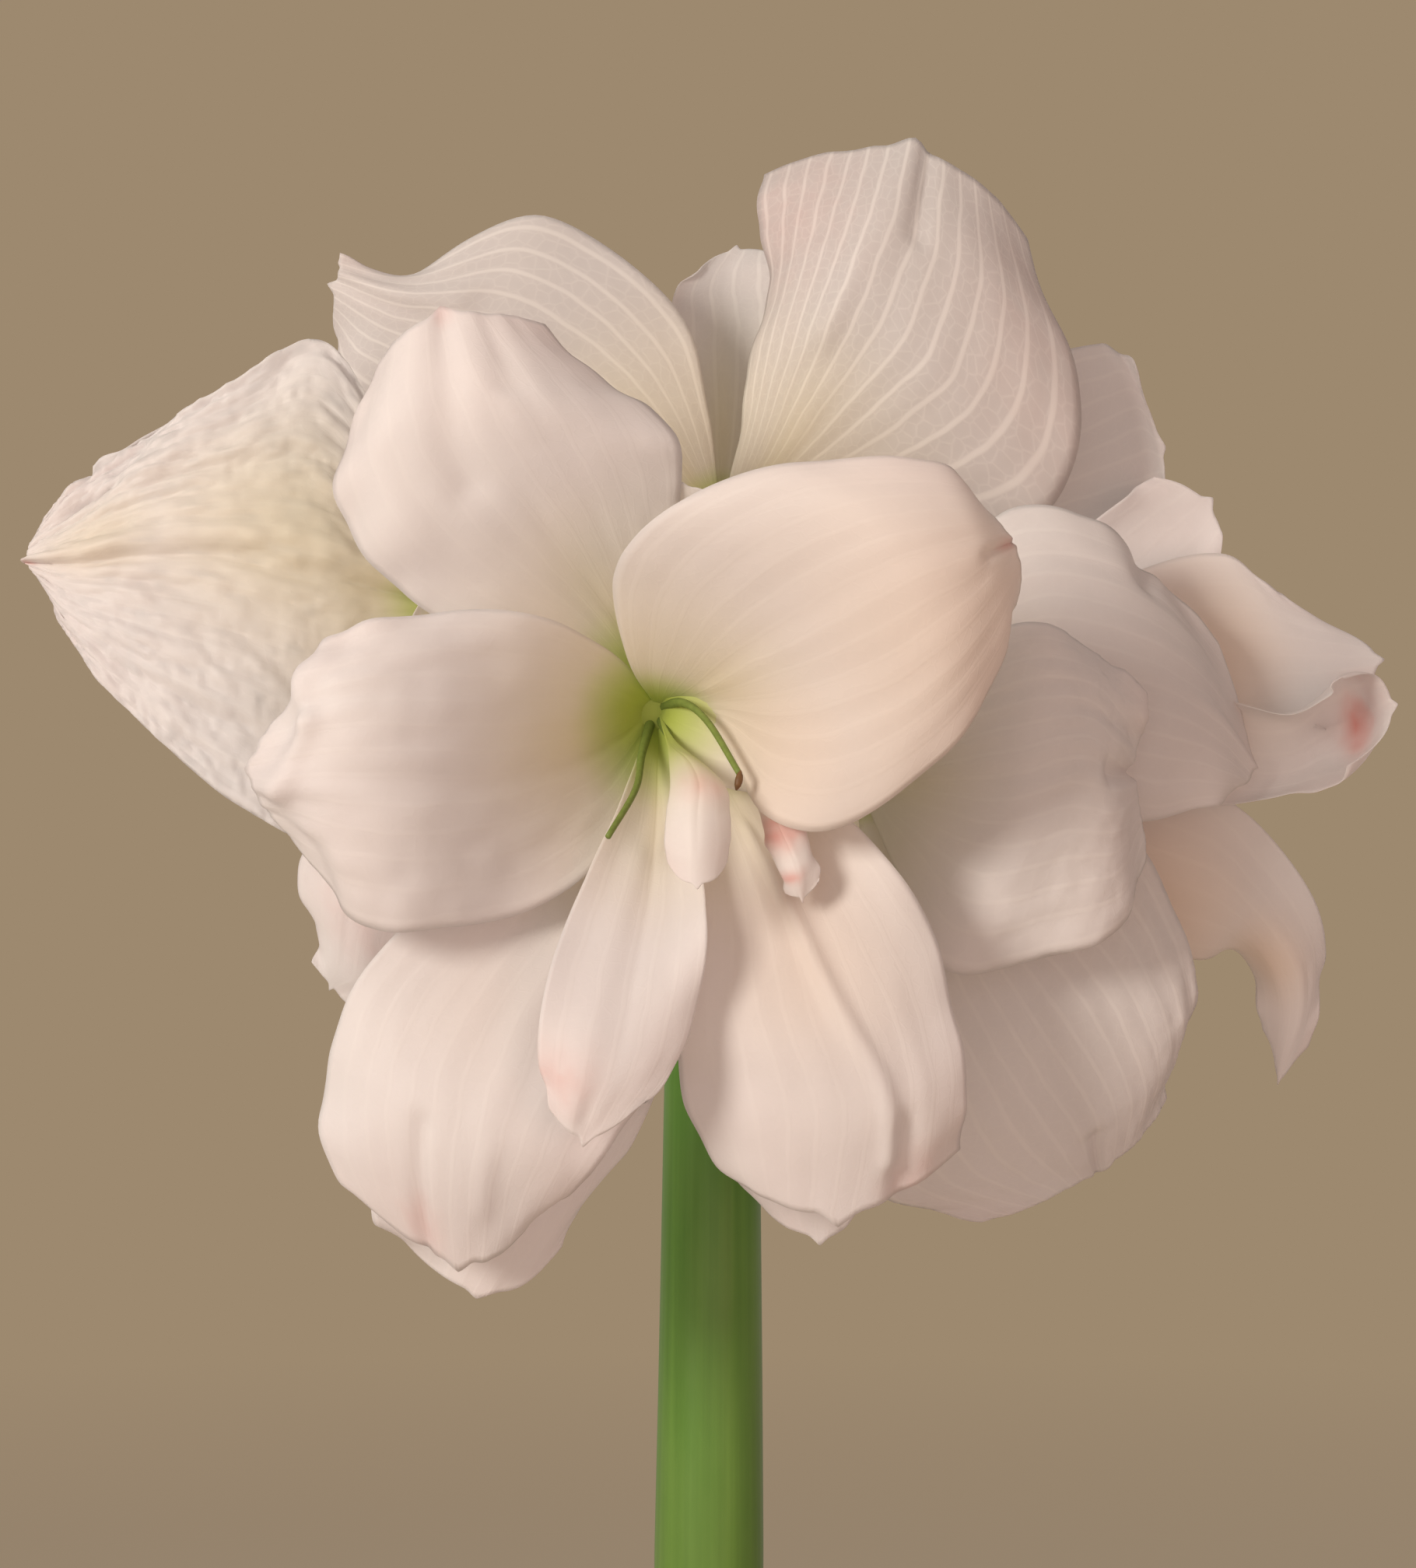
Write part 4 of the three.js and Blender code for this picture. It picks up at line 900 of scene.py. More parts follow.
def petal_shell(grid, normals):
    """Points and outward faces of a thin closed sheet round the middle surface.

    Both faces lie half the thickness from it, and the thickness falls to 0.4 of that at the margins.
    """
    rows, columns = grid.shape[:2]
    v = np.linspace(-1, 1, columns)[None, :, None]
    u = np.linspace(0, 1, rows)[:, None, None]
    half = PETAL_THICKNESS / 2 * (1 - 0.6 * np.maximum(np.abs(v) ** 6, u**12))
    points = np.stack([grid + normals * half, grid - normals * half]).reshape(-1, 3)
    count = rows * columns
    number = np.arange(count).reshape(rows, columns)
    ring = np.concatenate([number[0], number[1:, -1], number[-1, -2::-1], number[-2:0:-1, 0]])
    after = np.roll(ring, -1)
    rim = np.stack([ring, after, after + count, ring + count], axis=-1)
    faces = grid_faces(rows, columns)
    return points, np.concatenate([faces, faces[:, ::-1] + count, rim])


print("triangles of a usual petal:", 4 * POINTS_ALONG * POINTS_ACROSS)

# %% [markdown]
# Filaments, stalks, the tube at the bottom of each throat, roots and the thick stalk itself are all
# tubes. A tube is a circle carried along a smooth path, with its own radius at each place.

# %% Tubes
PATH_STEPS = 400  # points by which a path's length is measured


def tube(path, radii, rings, sides, shape=lambda angle, u: 1.0):
    """Points and outward faces of a tube round a smooth path, closed at both ends.

    At each ring the circle stands square to the path. Its first direction is the previous one
    with its part along the path taken out, so the tube does not twist. shape(angle, u) multiplies
    the radius, which runs evenly through the radii along the path's length. Each end is closed by
    one more ring that has shrunk to a point.
    """
    fine = smooth_curve(path, np.linspace(0, 1, PATH_STEPS))
    run = np.concatenate([[0], np.cumsum(np.linalg.norm(np.diff(fine, axis=0), axis=1))])
    u = np.linspace(0, 1, rings)
    centres = np.stack([np.interp(u * run[-1], run, fine[:, k]) for k in range(3)], axis=1)
    tangents = unit(np.gradient(centres, axis=0))
    first = np.cross(tangents[0], [0, 1, 0] if abs(tangents[0][1]) < 0.9 else [1, 0, 0])
    directions = []
    for tangent in tangents:
        first = first - tangent * (first @ tangent)
        first = first / np.linalg.norm(first)
        directions.append(first)
    first = np.array(directions)
    second = np.cross(tangents, first)
    angle = full_turn(sides)
    radius = np.interp(u, np.linspace(0, 1, len(radii)), radii)[:, None]
    radius = radius * (shape(angle, u[:, None]) + 0 * angle)
    ring = first[:, None] * np.cos(angle)[..., None] + second[:, None] * np.sin(angle)[..., None]
    grid = centres[:, None] + ring * radius[..., None]
    ends = [np.repeat(grid[k].mean(axis=0)[None], sides, axis=0)[None] for k in (0, -1)]
    closed = np.concatenate([ends[0], grid, ends[1]])
    return closed.reshape(-1, 3), grid_faces(rings + 2, sides, wrap=True)[:, ::-1]


# %% [markdown]
# A petal's finish is decided by where on the bloom a point lies. Deep in the throat the tissue is
# green, then it turns cream, and further out it is white with a faint pink blush towards the tip.
# So each point of the mesh carries five marks from 0 to 1: throat, cream, peach, blush and veins. On the
# far left petal the cream mark also holds a painted band of sunlight beside the midrib.
# The texture coordinates run with the petal, across it from margin to margin and along it, and a
# unit of them is 100 mm.

# %% Blooms
CREAM_FADES = (18, 62)  # distances from the heart in mm between which the cream tone fades out
FAINT_BLUSH = 0.09
THROAT = SimpleNamespace(start=0.3, rise=6, mouth=3.5, radii=[3.5, 3.7, 4.6, 5.2, 4.2], rings=20, sides=24)
UV_UNIT = 100


def spots(places, u, v, length, width):
    """The strongest of several soft round spots, each strength * exp(-(distance / radius)^2)."""
    spot = 0 * (u + v)
    for place_u, place_v, radius, strength in places:
        away = np.hypot((u - place_u) * length, (v - place_v) * width / 2) / radius
        spot = np.maximum(spot, strength * np.exp(-(away**2)))
    return spot


def petal(bloom, rows, number, look):
    """One petal of a bloom as a part. Its number decides how its unevenness falls out."""
    heart, axis = np.array(bloom["heart"], float), np.array(bloom["axis"], float)
    grid, normals, u, v, length, width = petal_surface(np.array(rows, float), heart, axis, number, look)
    distance = np.linalg.norm(grid - heart, axis=-1)
    green_reach = bloom["green"] * look["green"]
    cream = (1 - smooth_step(distance, *CREAM_FADES)) * (0.6 + 0.4 * np.exp(-((v / 0.3) ** 2)))
    patches = 0.5 + 0.5 * unevenness(u * 4 + 7, v * 2.2 + number, number + 3.5)
    blush = FAINT_BLUSH * smooth_step(u, 0.5, 1.0) * patches * (0.5 + 0.5 * np.abs(v))
    broken = 0.75 + 0.25 * unevenness(u * length / 2.2, v * width / 3.6, number + 12)
    pink, own_cream_and_painted_light, peach = (spots(look[tone], u, v, length, width) for tone in ("pink", "cream", "peach"))
    marks = {
        "throat": 1 - smooth_step(distance, 0.25 * green_reach, green_reach),
        "cream": np.maximum(cream, own_cream_and_painted_light),
        "peach": peach,
        "blush": np.maximum(blush, broken * pink),
        "veins": look["veins"] + 0 * u,
    }
    place = np.stack([v * width / (2 * UV_UNIT) + 2 * number, u * length / UV_UNIT], axis=-1).reshape(-1, 2)
    marks = {mark: np.tile(values.ravel(), 2) for mark, values in marks.items()}
    return *petal_shell(grid, normals), {"uv": np.tile(place, (2, 1)), **marks}


def bloom_part(name, bloom):
    """All petals of one bloom and the tube at the bottom of its throat, as one part."""
    own = [key for key in PETAL_LINES if key.startswith(name + "/")]
    parts = [
        petal(bloom, np.reshape(PETAL_LINES[key], (-1, 3, 3)), number, USUAL_LOOK | LOOKS.get(key, {}))
        for number, key in enumerate(own)
    ]
    for number, (tip, width) in enumerate(bloom["hidden"]):
        parts.append(petal(bloom, rows_at_the_back(bloom, tip, width), number, USUAL_LOOK))
    neck, heart = np.array(bloom["neck"], float), np.array(bloom["heart"], float)
    inward = unit(heart - neck)
    mouth = heart + THROAT.mouth * unit(np.array(bloom["axis"], float))
    path = [neck + THROAT.start * inward, neck + THROAT.rise * inward, heart, mouth]
    marks = {"throat": 1.0, "cream": 1.0, "peach": 0.0, "blush": 0.0, "veins": 0.2}
    marks = {"uv": np.array([[0.5, 0.5]]), **marks}
    parts.append((*tube(path, THROAT.radii, THROAT.rings, THROAT.sides), marks))
    return join(parts)


# %% [markdown]
# Petal tissue is thin, watery and pale: a matt skin over cells that scatter light, so nearly half
# of the light goes through, and a little less at the veins. Its index of refraction is that of wet
# plant tissue, about 1.4. The veins hold less air than the tissue between them, so they read as fine
# brighter lines, 5 mm apart on the wide petals, with a net of cross veins between them.

# %% Petal material
VEINS_PER_UNIT = 20.0  # a unit of the texture is 100 mm, so the main veins are 5 mm apart
CROSS_VEINS_PER_UNIT = 42.0
SHINES_THROUGH = 0.47
WET_TISSUE = 1.4  # index of refraction

petal_material, tree = new_material("white amaryllis petal")
place = sheet_place(tree)
wobble = noise(tree, place, 6.0, 2.0)
across_place = add_node(tree, "SeparateXYZ", {"Vector": place}).outputs[0]
straight_lines = times(tree, across_place, 2 * np.pi * VEINS_PER_UNIT)
vein_wave = calculate(tree, "COSINE", calculate(tree, "MULTIPLY_ADD", wobble, 3.6, straight_lines))
main_veins = ramp(tree, vein_wave, 0.7, 1.0, interpolation_type="SMOOTHSTEP")
stretch = {0: place, 1: (2 * VEINS_PER_UNIT, CROSS_VEINS_PER_UNIT, 1.0)}
net_place = add_node(tree, "VectorMath", stretch, operation="MULTIPLY").outputs[0]
cells = {"Vector": net_place, "Scale": 1.0, "Randomness": 0.85}
net = add_node(tree, "TexVoronoi", cells, feature="DISTANCE_TO_EDGE", voronoi_dimensions="2D")
cross_veins = ramp(tree, net.outputs["Distance"], 0.0, 0.11, 0.5, 0.0)
all_veins = calculate(tree, "MAXIMUM", main_veins, cross_veins)
vein_clearness_and_shade = mark_of(tree, "veins")
vein_share = times(tree, all_veins, vein_clearness_and_shade)

patchy = noise(tree, plant_place(tree), 38.0, 3.0)
tissue = coated(
    tree,
    mix_colour(tree, patchy, "#f6f3f5", "#fdfafa"),
    # the grey between clear veins is partly tissue thin enough to see through and partly painted shade, for
    # petals that lie in shade
    (times(tree, vein_clearness_and_shade, 0.5), "#dbd8d5"),  # greyer between clear veins
    (times(tree, vein_share, 0.42), "#fffdfa"),
    # cream: the tissue's own tone near the throat, and on the far left petal a painted band of sunlight
    (times(tree, mark_of(tree, "cream"), 0.6), "#f7eecf"),
    (times(tree, mark_of(tree, "peach"), 0.6), "#f9e3cd"),
    (mark_of(tree, "blush"), "#eca79d"),
    (mark_of(tree, "throat"), "#d2df72"),
)
tilt = bumps(tree, calculate(tree, "MULTIPLY_ADD", all_veins, 0.35, patchy), 0.22, 0.3 * MM)
matt = {"Roughness": 0.52, "Specular IOR Level": 0.35, "Sheen Weight": 0.15, "Sheen Roughness": 0.5}
skin = add_node(tree, "BsdfPrincipled", {"Base Color": tissue, "IOR": WET_TISSUE, "Normal": tilt, **matt})
through = add_node(tree, "BsdfTranslucent", {"Color": tissue, "Normal": tilt})
share_through = calculate(tree, "MULTIPLY_ADD", vein_share, -0.12, SHINES_THROUGH)
show(tree, mix_shaders(tree, share_through, skin, through))

for name, bloom in BLOOMS.items():
    make_piece(f"petals_{name}", bloom_part(name, bloom), petal_material, f"bloom_{name}")

# %% [markdown]
# The thick stalk of an amaryllis, its scape, is smooth, fleshy and a little angular, with a pale
# waxy bloom that rubs off. At its top it widens and gives out one short stalk for each bloom, which
# thickens into a three-sided ovary. All of it grew as one, so it is one mesh of joined tubes.
# Its green is yellower low down, where it grew in the shade of the leaves. The wax softens the
# shine and greys the green in patches.

# %% Scape
SCAPE = SimpleNamespace(foot=100, top=484, radius=11.8, top_radius=9.9, head_radius=11.5)
UMBEL = np.array([1, 0, 486])
OVARY = 9  # length in mm
STALK_RADII = [3.4, 3.1, 3.1, 4.6, 5.4, 3.6]  # the thicker ones are the ovary

scape_material, tree = new_material("waxy green stalk")
place = plant_place(tree)
streaks = noise(tree, place, (620.0, 620.0, 9.0), 2.0)
wax = ramp(tree, noise(tree, place, (60.0, 60.0, 22.0), 4.0), 0.35, 0.8, end=0.35)
low_green = mix_colour(tree, streaks, "#53722a", "#698838")
high_green = mix_colour(tree, streaks, "#4a7e2a", "#639a3c")
upper = ramp(tree, add_node(tree, "SeparateXYZ", {"Vector": place}).outputs["Z"], 0.3, 0.5)
pale = times(tree, mark_of(tree, "pale"), 0.5)
green = coated(tree, low_green, (upper, high_green), (wax, "#86a058"), (pale, "#a9c566"))
waxy = {"Roughness": 0.42, "IOR": WET_TISSUE, "Coat Weight": 0.12, "Coat Roughness": 0.35}
tilt = bumps(tree, streaks, 0.25, 0.3 * MM)
show(tree, add_node(tree, "BsdfPrincipled", {"Base Color": green, "Normal": tilt, **waxy}))


def shaft_shape(angle, u):
    """A slightly flattened round with a few very soft edges that run its length."""
    soft = 0.014 * np.cos(2 * angle + 0.6) + 0.007 * np.cos(5 * angle + 1.1)
    return 0.978 + (soft + 0.004 * np.cos(9 * angle + 2 * u))


def ovary_shape(angle, u):
    """A round stalk that becomes three-sided where the ovary is, at four fifths of its length."""
    return 0.96 + 0.07 * np.cos(3 * angle) * np.exp(-(((u - 0.8) / 0.14) ** 2))


x, y, z = UMBEL
shaft = [(0, 0, SCAPE.foot), (0, 0, 300), (0.6 * x, 0, 400), (x, 0, SCAPE.top)]
shaft_radii = [SCAPE.radius] * 3 + [SCAPE.top_radius]
head = [(x, y, SCAPE.top - 6), (x, y, z), (x, y, z + 6)]
head_radii = [SCAPE.top_radius, SCAPE.head_radius, SCAPE.top_radius - 1, 4]
parts = [
    (*tube(shaft, shaft_radii, 120, 72, shaft_shape), {"pale": 0.0}),
    (*tube(head, head_radii, 24, 72), {"pale": 0.2}),
]
for bloom in BLOOMS.values():
    neck, heart = np.array(bloom["neck"], float), np.array(bloom["heart"], float)
    first = bloom["stalk"][0]
    foot = (0.5 * x + 0.3 * first[0], 0.3 * first[1], z - 4)
    path = [foot, *bloom["stalk"], neck - OVARY * unit(heart - neck), neck]
    parts.append((*tube(path, STALK_RADII, 60, 32, ovary_shape), {"pale": 0.5}))
make_piece("stalk_with_ovaries", join(parts), scape_material, "scape")

# %% [markdown]
# The filaments of the front bloom are thin, green and bent, and stand out of its throat. The first
# one ends in a shrunken brown anther, because the other stamens of a double bloom have turned into
# petals. Both are matt, the thread because it is thin living tissue and the anther because its
# pollen is dust.

# %% Stamens
FILAMENTS = [
    [(-10, -52, 535), (-5, -66, 536), (0, -74, 532), (6, -85, 522)],
    [(-10, -52, 534), (-7, -68, 528), (-4, -79, 523)],
    [(-11, -52, 534), (-13, -66, 526), (-14, -78, 519), (-19, -90, 510)],
]

filament_material, tree = new_material("green filament and brown anther")
grain = noise(tree, plant_place(tree), 900.0, 2.0)
thread = mix_colour(tree, grain, "#5f7030", "#82934a")
pollen = mix_colour(tree, grain, "#573e28", "#83603a")
colour = mix_colour(tree, mark_of(tree, "anther"), thread, pollen)
show(tree, add_node(tree, "BsdfPrincipled", {"Base Color": colour, "Roughness": 0.5, "IOR": WET_TISSUE}))


def anther_shape(angle, u):
    """A bean with a dent along one side and one along the other."""
    return 1 - 0.16 * np.cos(angle) ** 8


parts = [(*tube(path, [1.15, 0.7, 0.6], 40, 16), {"anther": 0.0}) for path in FILAMENTS]
x, y, z = FILAMENTS[0][-1]
bean = [(x + 0.2, y, z + 0.6), (x - 0.1, y - 0.6, z - 1.3), (x - 0.6, y - 1.2, z - 3.2)]
parts.append((*tube(bean, [0.2, 0.75, 0.9, 0.75, 0.2], 24, 20, anther_shape), {"anther": 1.0}))
make_piece("filaments_and_anther", join(parts), filament_material, "stamens_front")

# %% [markdown]
# Two papery bracts had enclosed the buds. They dry up once the blooms open and hang below the
# flower head. Each is a thin sheet like a petal, only brown, brittle and more crumpled, and so thin
# that a third of the light comes through it.

# %% Bracts
BRACT = [(0, -1, 6), (1.5, -9, 7), (4.5, -18, 6), (6.5, -26, 3)]  # reach, height, half width
BRACT_POINTS = (60, 31)
CLEAR_OF_HEAD = 0.75

bract_material, tree = new_material("dried papery bract")
ribs = noise(tree, plant_place(tree), (700.0, 700.0, 40.0), 3.0)
paper = mix_colour(tree, ribs, "#8a6339", "#c9a878")
tilt = bumps(tree, ribs, 0.5, 0.4 * MM)
skin = add_node(tree, "BsdfPrincipled", {"Base Color": paper, "Roughness": 0.75, "Normal": tilt})
show(tree, mix_shaders(tree, 0.3, skin, add_node(tree, "BsdfTranslucent", {"Color": paper})))

for side, name in ((-1, "bract_left"), (1, "bract_right")):
    out = unit(np.array([side * 0.75, 0.66, 0.0]))
    wide = np.array([-out[1], out[0], 0.0])
    rows = []
    for reach, height, half in BRACT:
        rib = np.array([UMBEL[0], 0, UMBEL[2] + height])
        reach = SCAPE.head_radius + CLEAR_OF_HEAD + reach
        rows.append([rib + out * (reach - 0.1 * half * v * v) + wide * half * v for v in (-1, 0, 1)])
    u = np.linspace(0, 1, BRACT_POINTS[0])[:, None]
    v = np.linspace(-1, 1, BRACT_POINTS[1])[None, :]
    sheet = sheet_between(rows, u - 0.06 * u**6 * np.abs(v) ** 2, v)[0]
    crumple = 0.8 * u**0.8 * np.abs(v) ** 2.5 * np.sin(4 * np.pi * u + side)
    crumple = crumple + 0.35 * unevenness(u * 9, v * 4, side + 2) * u + 0.12 * np.sin(18 * v + 2 * u)
    sheet = sheet + surface_normals(sheet) * crumple[..., None]
    part = (*petal_shell(sheet, surface_normals(sheet)), {})
    make_piece(f"papery_{name}", part, bract_material, name)

# %% [markdown]
# An amaryllis leaf is a long thick strap with a blunt tip, a shallow channel down its middle and
# fine parallel veins. A plant in bloom has a few short ones, in two fans on opposite sides of the
# stalk. A leaf is a sheet again, thick at its rib and thin at its margins. Its wax gives it a thin
# smooth coat, and at its foot, where no light came, it is pale.

# %% Leaves
BULB = SimpleNamespace(x=8, y=10, bottom=84, widest=118, shoulder=140, top=170, radius=43, neck=26)
LEAF = SimpleNamespace(thickness=2.4, foot=146, foot_half_width=8, half_width=14, from_axis=11)
LEAF_POINTS = (110, 33)
LEAVES = {  # where it stands in its fan, how far it leans and how high it reaches, in mm
    "leaf_tall_left": (-4, -16, 296),
    "leaf_tall_right": (4, 22, 276),
    "leaf_low_left": (-11, -46, 246),
    "leaf_low_right": (11, 52, 232),
}

leaf_material, tree = new_material("waxy strap leaf")
place = sheet_place(tree)
lines = noise(tree, place, (46.0, 2.2, 1.0), 2.0)
blotch = noise(tree, place, (3.0, 9.0, 1.0), 3.0)
foot_share = ramp(tree, add_node(tree, "SeparateXYZ", {"Vector": place}).outputs[1], 0.32, 0.1)
green = mix_colour(tree, lines, "#3c6420", "#5c8832")
green = coated(tree, green, (times(tree, blotch, 0.5), "#6f9440"), (foot_share, "#b7c486"))
waxy = {"Roughness": 0.4, "IOR": 1.42, "Coat Weight": 0.15, "Coat Roughness": 0.3}
tilt = bumps(tree, lines, 0.35, 0.4 * MM)
show(tree, add_node(tree, "BsdfPrincipled", {"Base Color": green, "Normal": tilt, **waxy}))


def leaf_surface(offset, lean, top):
    """The middle surface of a leaf, u from foot to tip and v across.

    It rises evenly to its top. Above an eighth of its height it opens from its foot's width to its
    full width and leans out by lean u^1.6, and above 0.6 it narrows to its blunt tip. Across, it
    stands back by 0.18 of its half width times v squared, which makes the channel.
    """
    u = np.linspace(0, 1, LEAF_POINTS[0])[:, None]
    v = np.linspace(-1, 1, LEAF_POINTS[1])[None, :]
    away = unit(np.array([BULB.x, BULB.y, 0.0]))
    fan = np.array([away[1], -away[0], 0.0])
    opening = smooth_step(u, 0.12, 0.5)
    taper = 1 - 0.75 * smooth_step(u, 0.6, 1.0)
    blunt = np.sqrt(np.clip(1 - (np.maximum(u - 0.94, 0) / 0.06) ** 2, 0.02, 1))
    half = (LEAF.foot_half_width + (LEAF.half_width - LEAF.foot_half_width) * opening) * taper * blunt
    half = half * (1 + 0.02 * unevenness(u * 9, 0 * u + 0.5, lean) * u)
    cup = -0.18 * np.sign(lean) * half
    ripple = 0.25 * u * unevenness(u * 6, v * 1.5 + 4, lean + 3)
    height = LEAF.foot + (top - LEAF.foot) * u
    sideways = offset + lean * opening * u**1.6 + cup * v**2 + ripple
    outwards = LEAF.from_axis + 4 * opening + half * v
    grid = np.array([BULB.x, BULB.y, 0.0]) + fan * sideways[..., None] + away * outwards[..., None]
    grid = grid + np.array([0, 0, 1.0]) * (height + 0 * v)[..., None]
    thickness = LEAF.thickness * (1 - 0.6 * np.abs(v) ** 3) * (1 - 0.5 * u**8)
    return grid, thickness, u + 0 * v, v + 0 * u


for number, (name, (offset, lean, top)) in enumerate(LEAVES.items()):
    grid, thickness, u, v = leaf_surface(offset, lean, top)
    shell = petal_shell(grid, surface_normals(grid) * (thickness / PETAL_THICKNESS)[..., None])
    place = np.tile(np.stack([v * 0.5 + 0.5 + 2 * number, u], axis=-1).reshape(-1, 2), (2, 1))
    make_piece(f"strap_{name}", (*shell, {"uv": place}), leaf_material, name)

# %% [markdown]
# The bulb stands half out of the soil, as growers plant it. Its outer scales have dried to thin
# brown skins with fine veins that run from the base to the neck, and at the neck their torn edges
# stand in rings round the leaves. The body is a profile turned round an upright axis. White roots
# as thick as string leave its base for the soil.

# %% Bulb
BULB_SIDES = 160
BULB_RINGS = 110
ROOTS = SimpleNamespace(count=7, reach=24, depth=26, radii=[2.2, 2.0, 1.5, 1.0])
NECK_RINGS = [  # radius and height of the torn edges of the scales, from the outside in
    (25.0, 169.6), (24.2, 168.0), (23.4, 165.5), (22.6, 168.6), (21.8, 168.4), (21.0, 164.5), (20.0, 167.4),
    (19.2, 167.2), (18.2, 162.5), (16.5, 165.5), (15.5, 165.3), (13.0, 161.0), (6.0, 160.0), (0.01, 160.0),
]
TORN_FROM = 163  # height in mm above which the edges are torn

bulb_material, tree = new_material("dry bulb skin")
ribs = noise(tree, sheet_place(tree), (120.0, 3.0, 1.0), 3.0)
worn = ramp(tree, noise(tree, plant_place(tree), (42.0, 42.0, 26.0), 5.0), 0.5, 0.66)
brown = mix_colour(tree, ribs, "#6b4424", "#a77a48")
brown = coated(tree, brown, (times(tree, worn, 0.75), "#cda876"), (mark_of(tree, "fresh"), "#cfd0a0"))
tilt = bumps(tree, calculate(tree, "ADD", ribs, worn), 0.5, 0.6 * MM)
dry = {"Roughness": 0.6, "Sheen Weight": 0.1}
show(tree, add_node(tree, "BsdfPrincipled", {"Base Color": brown, "Normal": tilt, **dry}))

profile = [
    (2, BULB.bottom),
    (15, BULB.bottom),
    (BULB.radius - 13, BULB.bottom + 9),
    (BULB.radius - 3, BULB.widest - 13),
    (BULB.radius - 0.4, BULB.widest),
    (BULB.radius - 2, BULB.widest + 12),
    (BULB.radius - 7, BULB.shoulder + 2),
    (BULB.neck + 5, BULB.shoulder + 12),
    (BULB.neck + 0.8, BULB.top - 8),
    (BULB.neck - 1, BULB.top - 0.8),
]
outline = np.concatenate([smooth_curve(profile, np.linspace(0, 1, BULB_RINGS)), NECK_RINGS])
turn = full_turn(BULB_SIDES)
radius, height = outline[:, :1], outline[:, 1:]
share = np.clip((height - BULB.bottom) / (BULB.top - BULB.bottom), 0, 1)
ridges = 0.006 * np.cos(17 * turn + 3 * share) + 0.004 * np.cos(41 * turn + 5 * share)
overlap = 0.5 * smooth_step(np.sin(turn + 2.2 + 0.8 * np.sin(7 * share)), 0.2, 0.26) * (radius > BULB.neck)
torn = 1.2 * unevenness(turn * 4.3, radius / 2.1, 3) * (height > TORN_FROM) * (radius > 14)
radial = radius * (0.985 + ridges * (radius > 14)) - overlap
points = around(radial, height + torn - 0.6 * (height > TORN_FROM), turn, (BULB.x, BULB.y)).reshape(-1, 3)
place = np.stack([turn / (2 * np.pi) + 0 * radius, share + 0 * turn], axis=-1).reshape(-1, 2)
fresh = (smooth_step(height, 164, 168) * (radius < 22) * 0.6 + 0 * turn).ravel()
parts = [(points, grid_faces(len(outline), BULB_SIDES, wrap=True)[:, ::-1], {"uv": place, "fresh": fresh})]
for number in range(ROOTS.count):
    angle = 2 * np.pi * (number + 0.3 * np.sin(5 * number)) / ROOTS.count
    reach = ROOTS.reach + 5 * np.sin(3 * number)
    steps = np.array([(11, 6), (18, -14), (reach, -38), (reach, ROOTS.depth + 2 * number - BULB.bottom)])
    path = around(steps[:, 0], BULB.bottom + steps[:, 1], angle, (BULB.x, BULB.y))
    parts.append((*tube(path, ROOTS.radii, 30, 10), {"uv": np.zeros((1, 2)), "fresh": 1.0}))
make_piece("bulb_with_roots", join(parts), bulb_material, "bulb")

# %% [markdown]
# The pot is plain red clay, turned and fired without a glaze, so it is matt all over. It has a thick
# collar, a lip that is rounded by wear, faint rings from turning, and pale bloom where lime has come
# through the wall.

# %% Pot
POT = SimpleNamespace(height=140, rim=80, rim_height=24, top=75, base=55, wall=6, floor=8, lip=3, drain=9)
POT_SIDES = 160
BEVEL, BEVEL_STEPS = 1.6, 5
LONGEST_STEP = 4.0

clay_material, tree = new_material("unglazed red clay")
place = plant_place(tree)
cloud, speck = noise(tree, place, 16.0, 6.0), noise(tree, place, 420.0, 3.0)
rings = noise(tree, place, (6.0, 6.0, 330.0), 2.0)
lime = times(tree, ramp(tree, cloud, 0.56, 0.74, end=0.5), rings)
clay = mix_colour(tree, cloud, "#a4532f", "#c07048")
clay = coated(tree, clay, (times(tree, speck, 0.35), "#d0885e"), (lime, "#e0cdb8"))
tilt = bumps(tree, calculate(tree, "MULTIPLY_ADD", speck, 0.5, rings), 0.4, 0.5 * MM)
matt = {"Roughness": 0.88, "IOR": 1.5, "Specular IOR Level": 0.3}
show(tree, add_node(tree, "BsdfPrincipled", {"Base Color": clay, "Normal": tilt, **matt}))

shoulder, lip_foot, inside = POT.height - POT.rim_height, POT.height - POT.lip, POT.top - POT.wall
pot_corners = [
    (POT.drain, 0),
    (POT.base - 2, 0),
    (POT.base, 2),
    (POT.top, shoulder),
    (POT.rim - 1.5, shoulder),
    (POT.rim, shoulder + 2),
    (POT.rim, lip_foot),
    (POT.rim - POT.lip, POT.height),
    (inside + POT.lip, POT.height),
    (inside, lip_foot),
    (POT.base - POT.wall, POT.floor),
    (POT.drain, POT.floor),
    (POT.drain, 0),
]


def rounded_profile(corners):
    """A closed line through the corners with each inner corner cut by a small arc.

    The arc is the quadratic Bezier curve from a point one bevel before the corner to one after it.
    """
    corners = np.array(corners, float)
    line = [corners[0]]
    for before, corner, after in zip(corners[:-2], corners[1:-1], corners[2:]):
        start, end = (
            corner + unit(other - corner) * min(BEVEL, 0.45 * np.linalg.norm(other - corner))
            for other in (before, after)
        )
        t = np.linspace(0, 1, BEVEL_STEPS)[:, None]
        line.extend((1 - t) ** 2 * start + 2 * t * (1 - t) * corner + t**2 * end)
    return np.array([*line, corners[-1]])


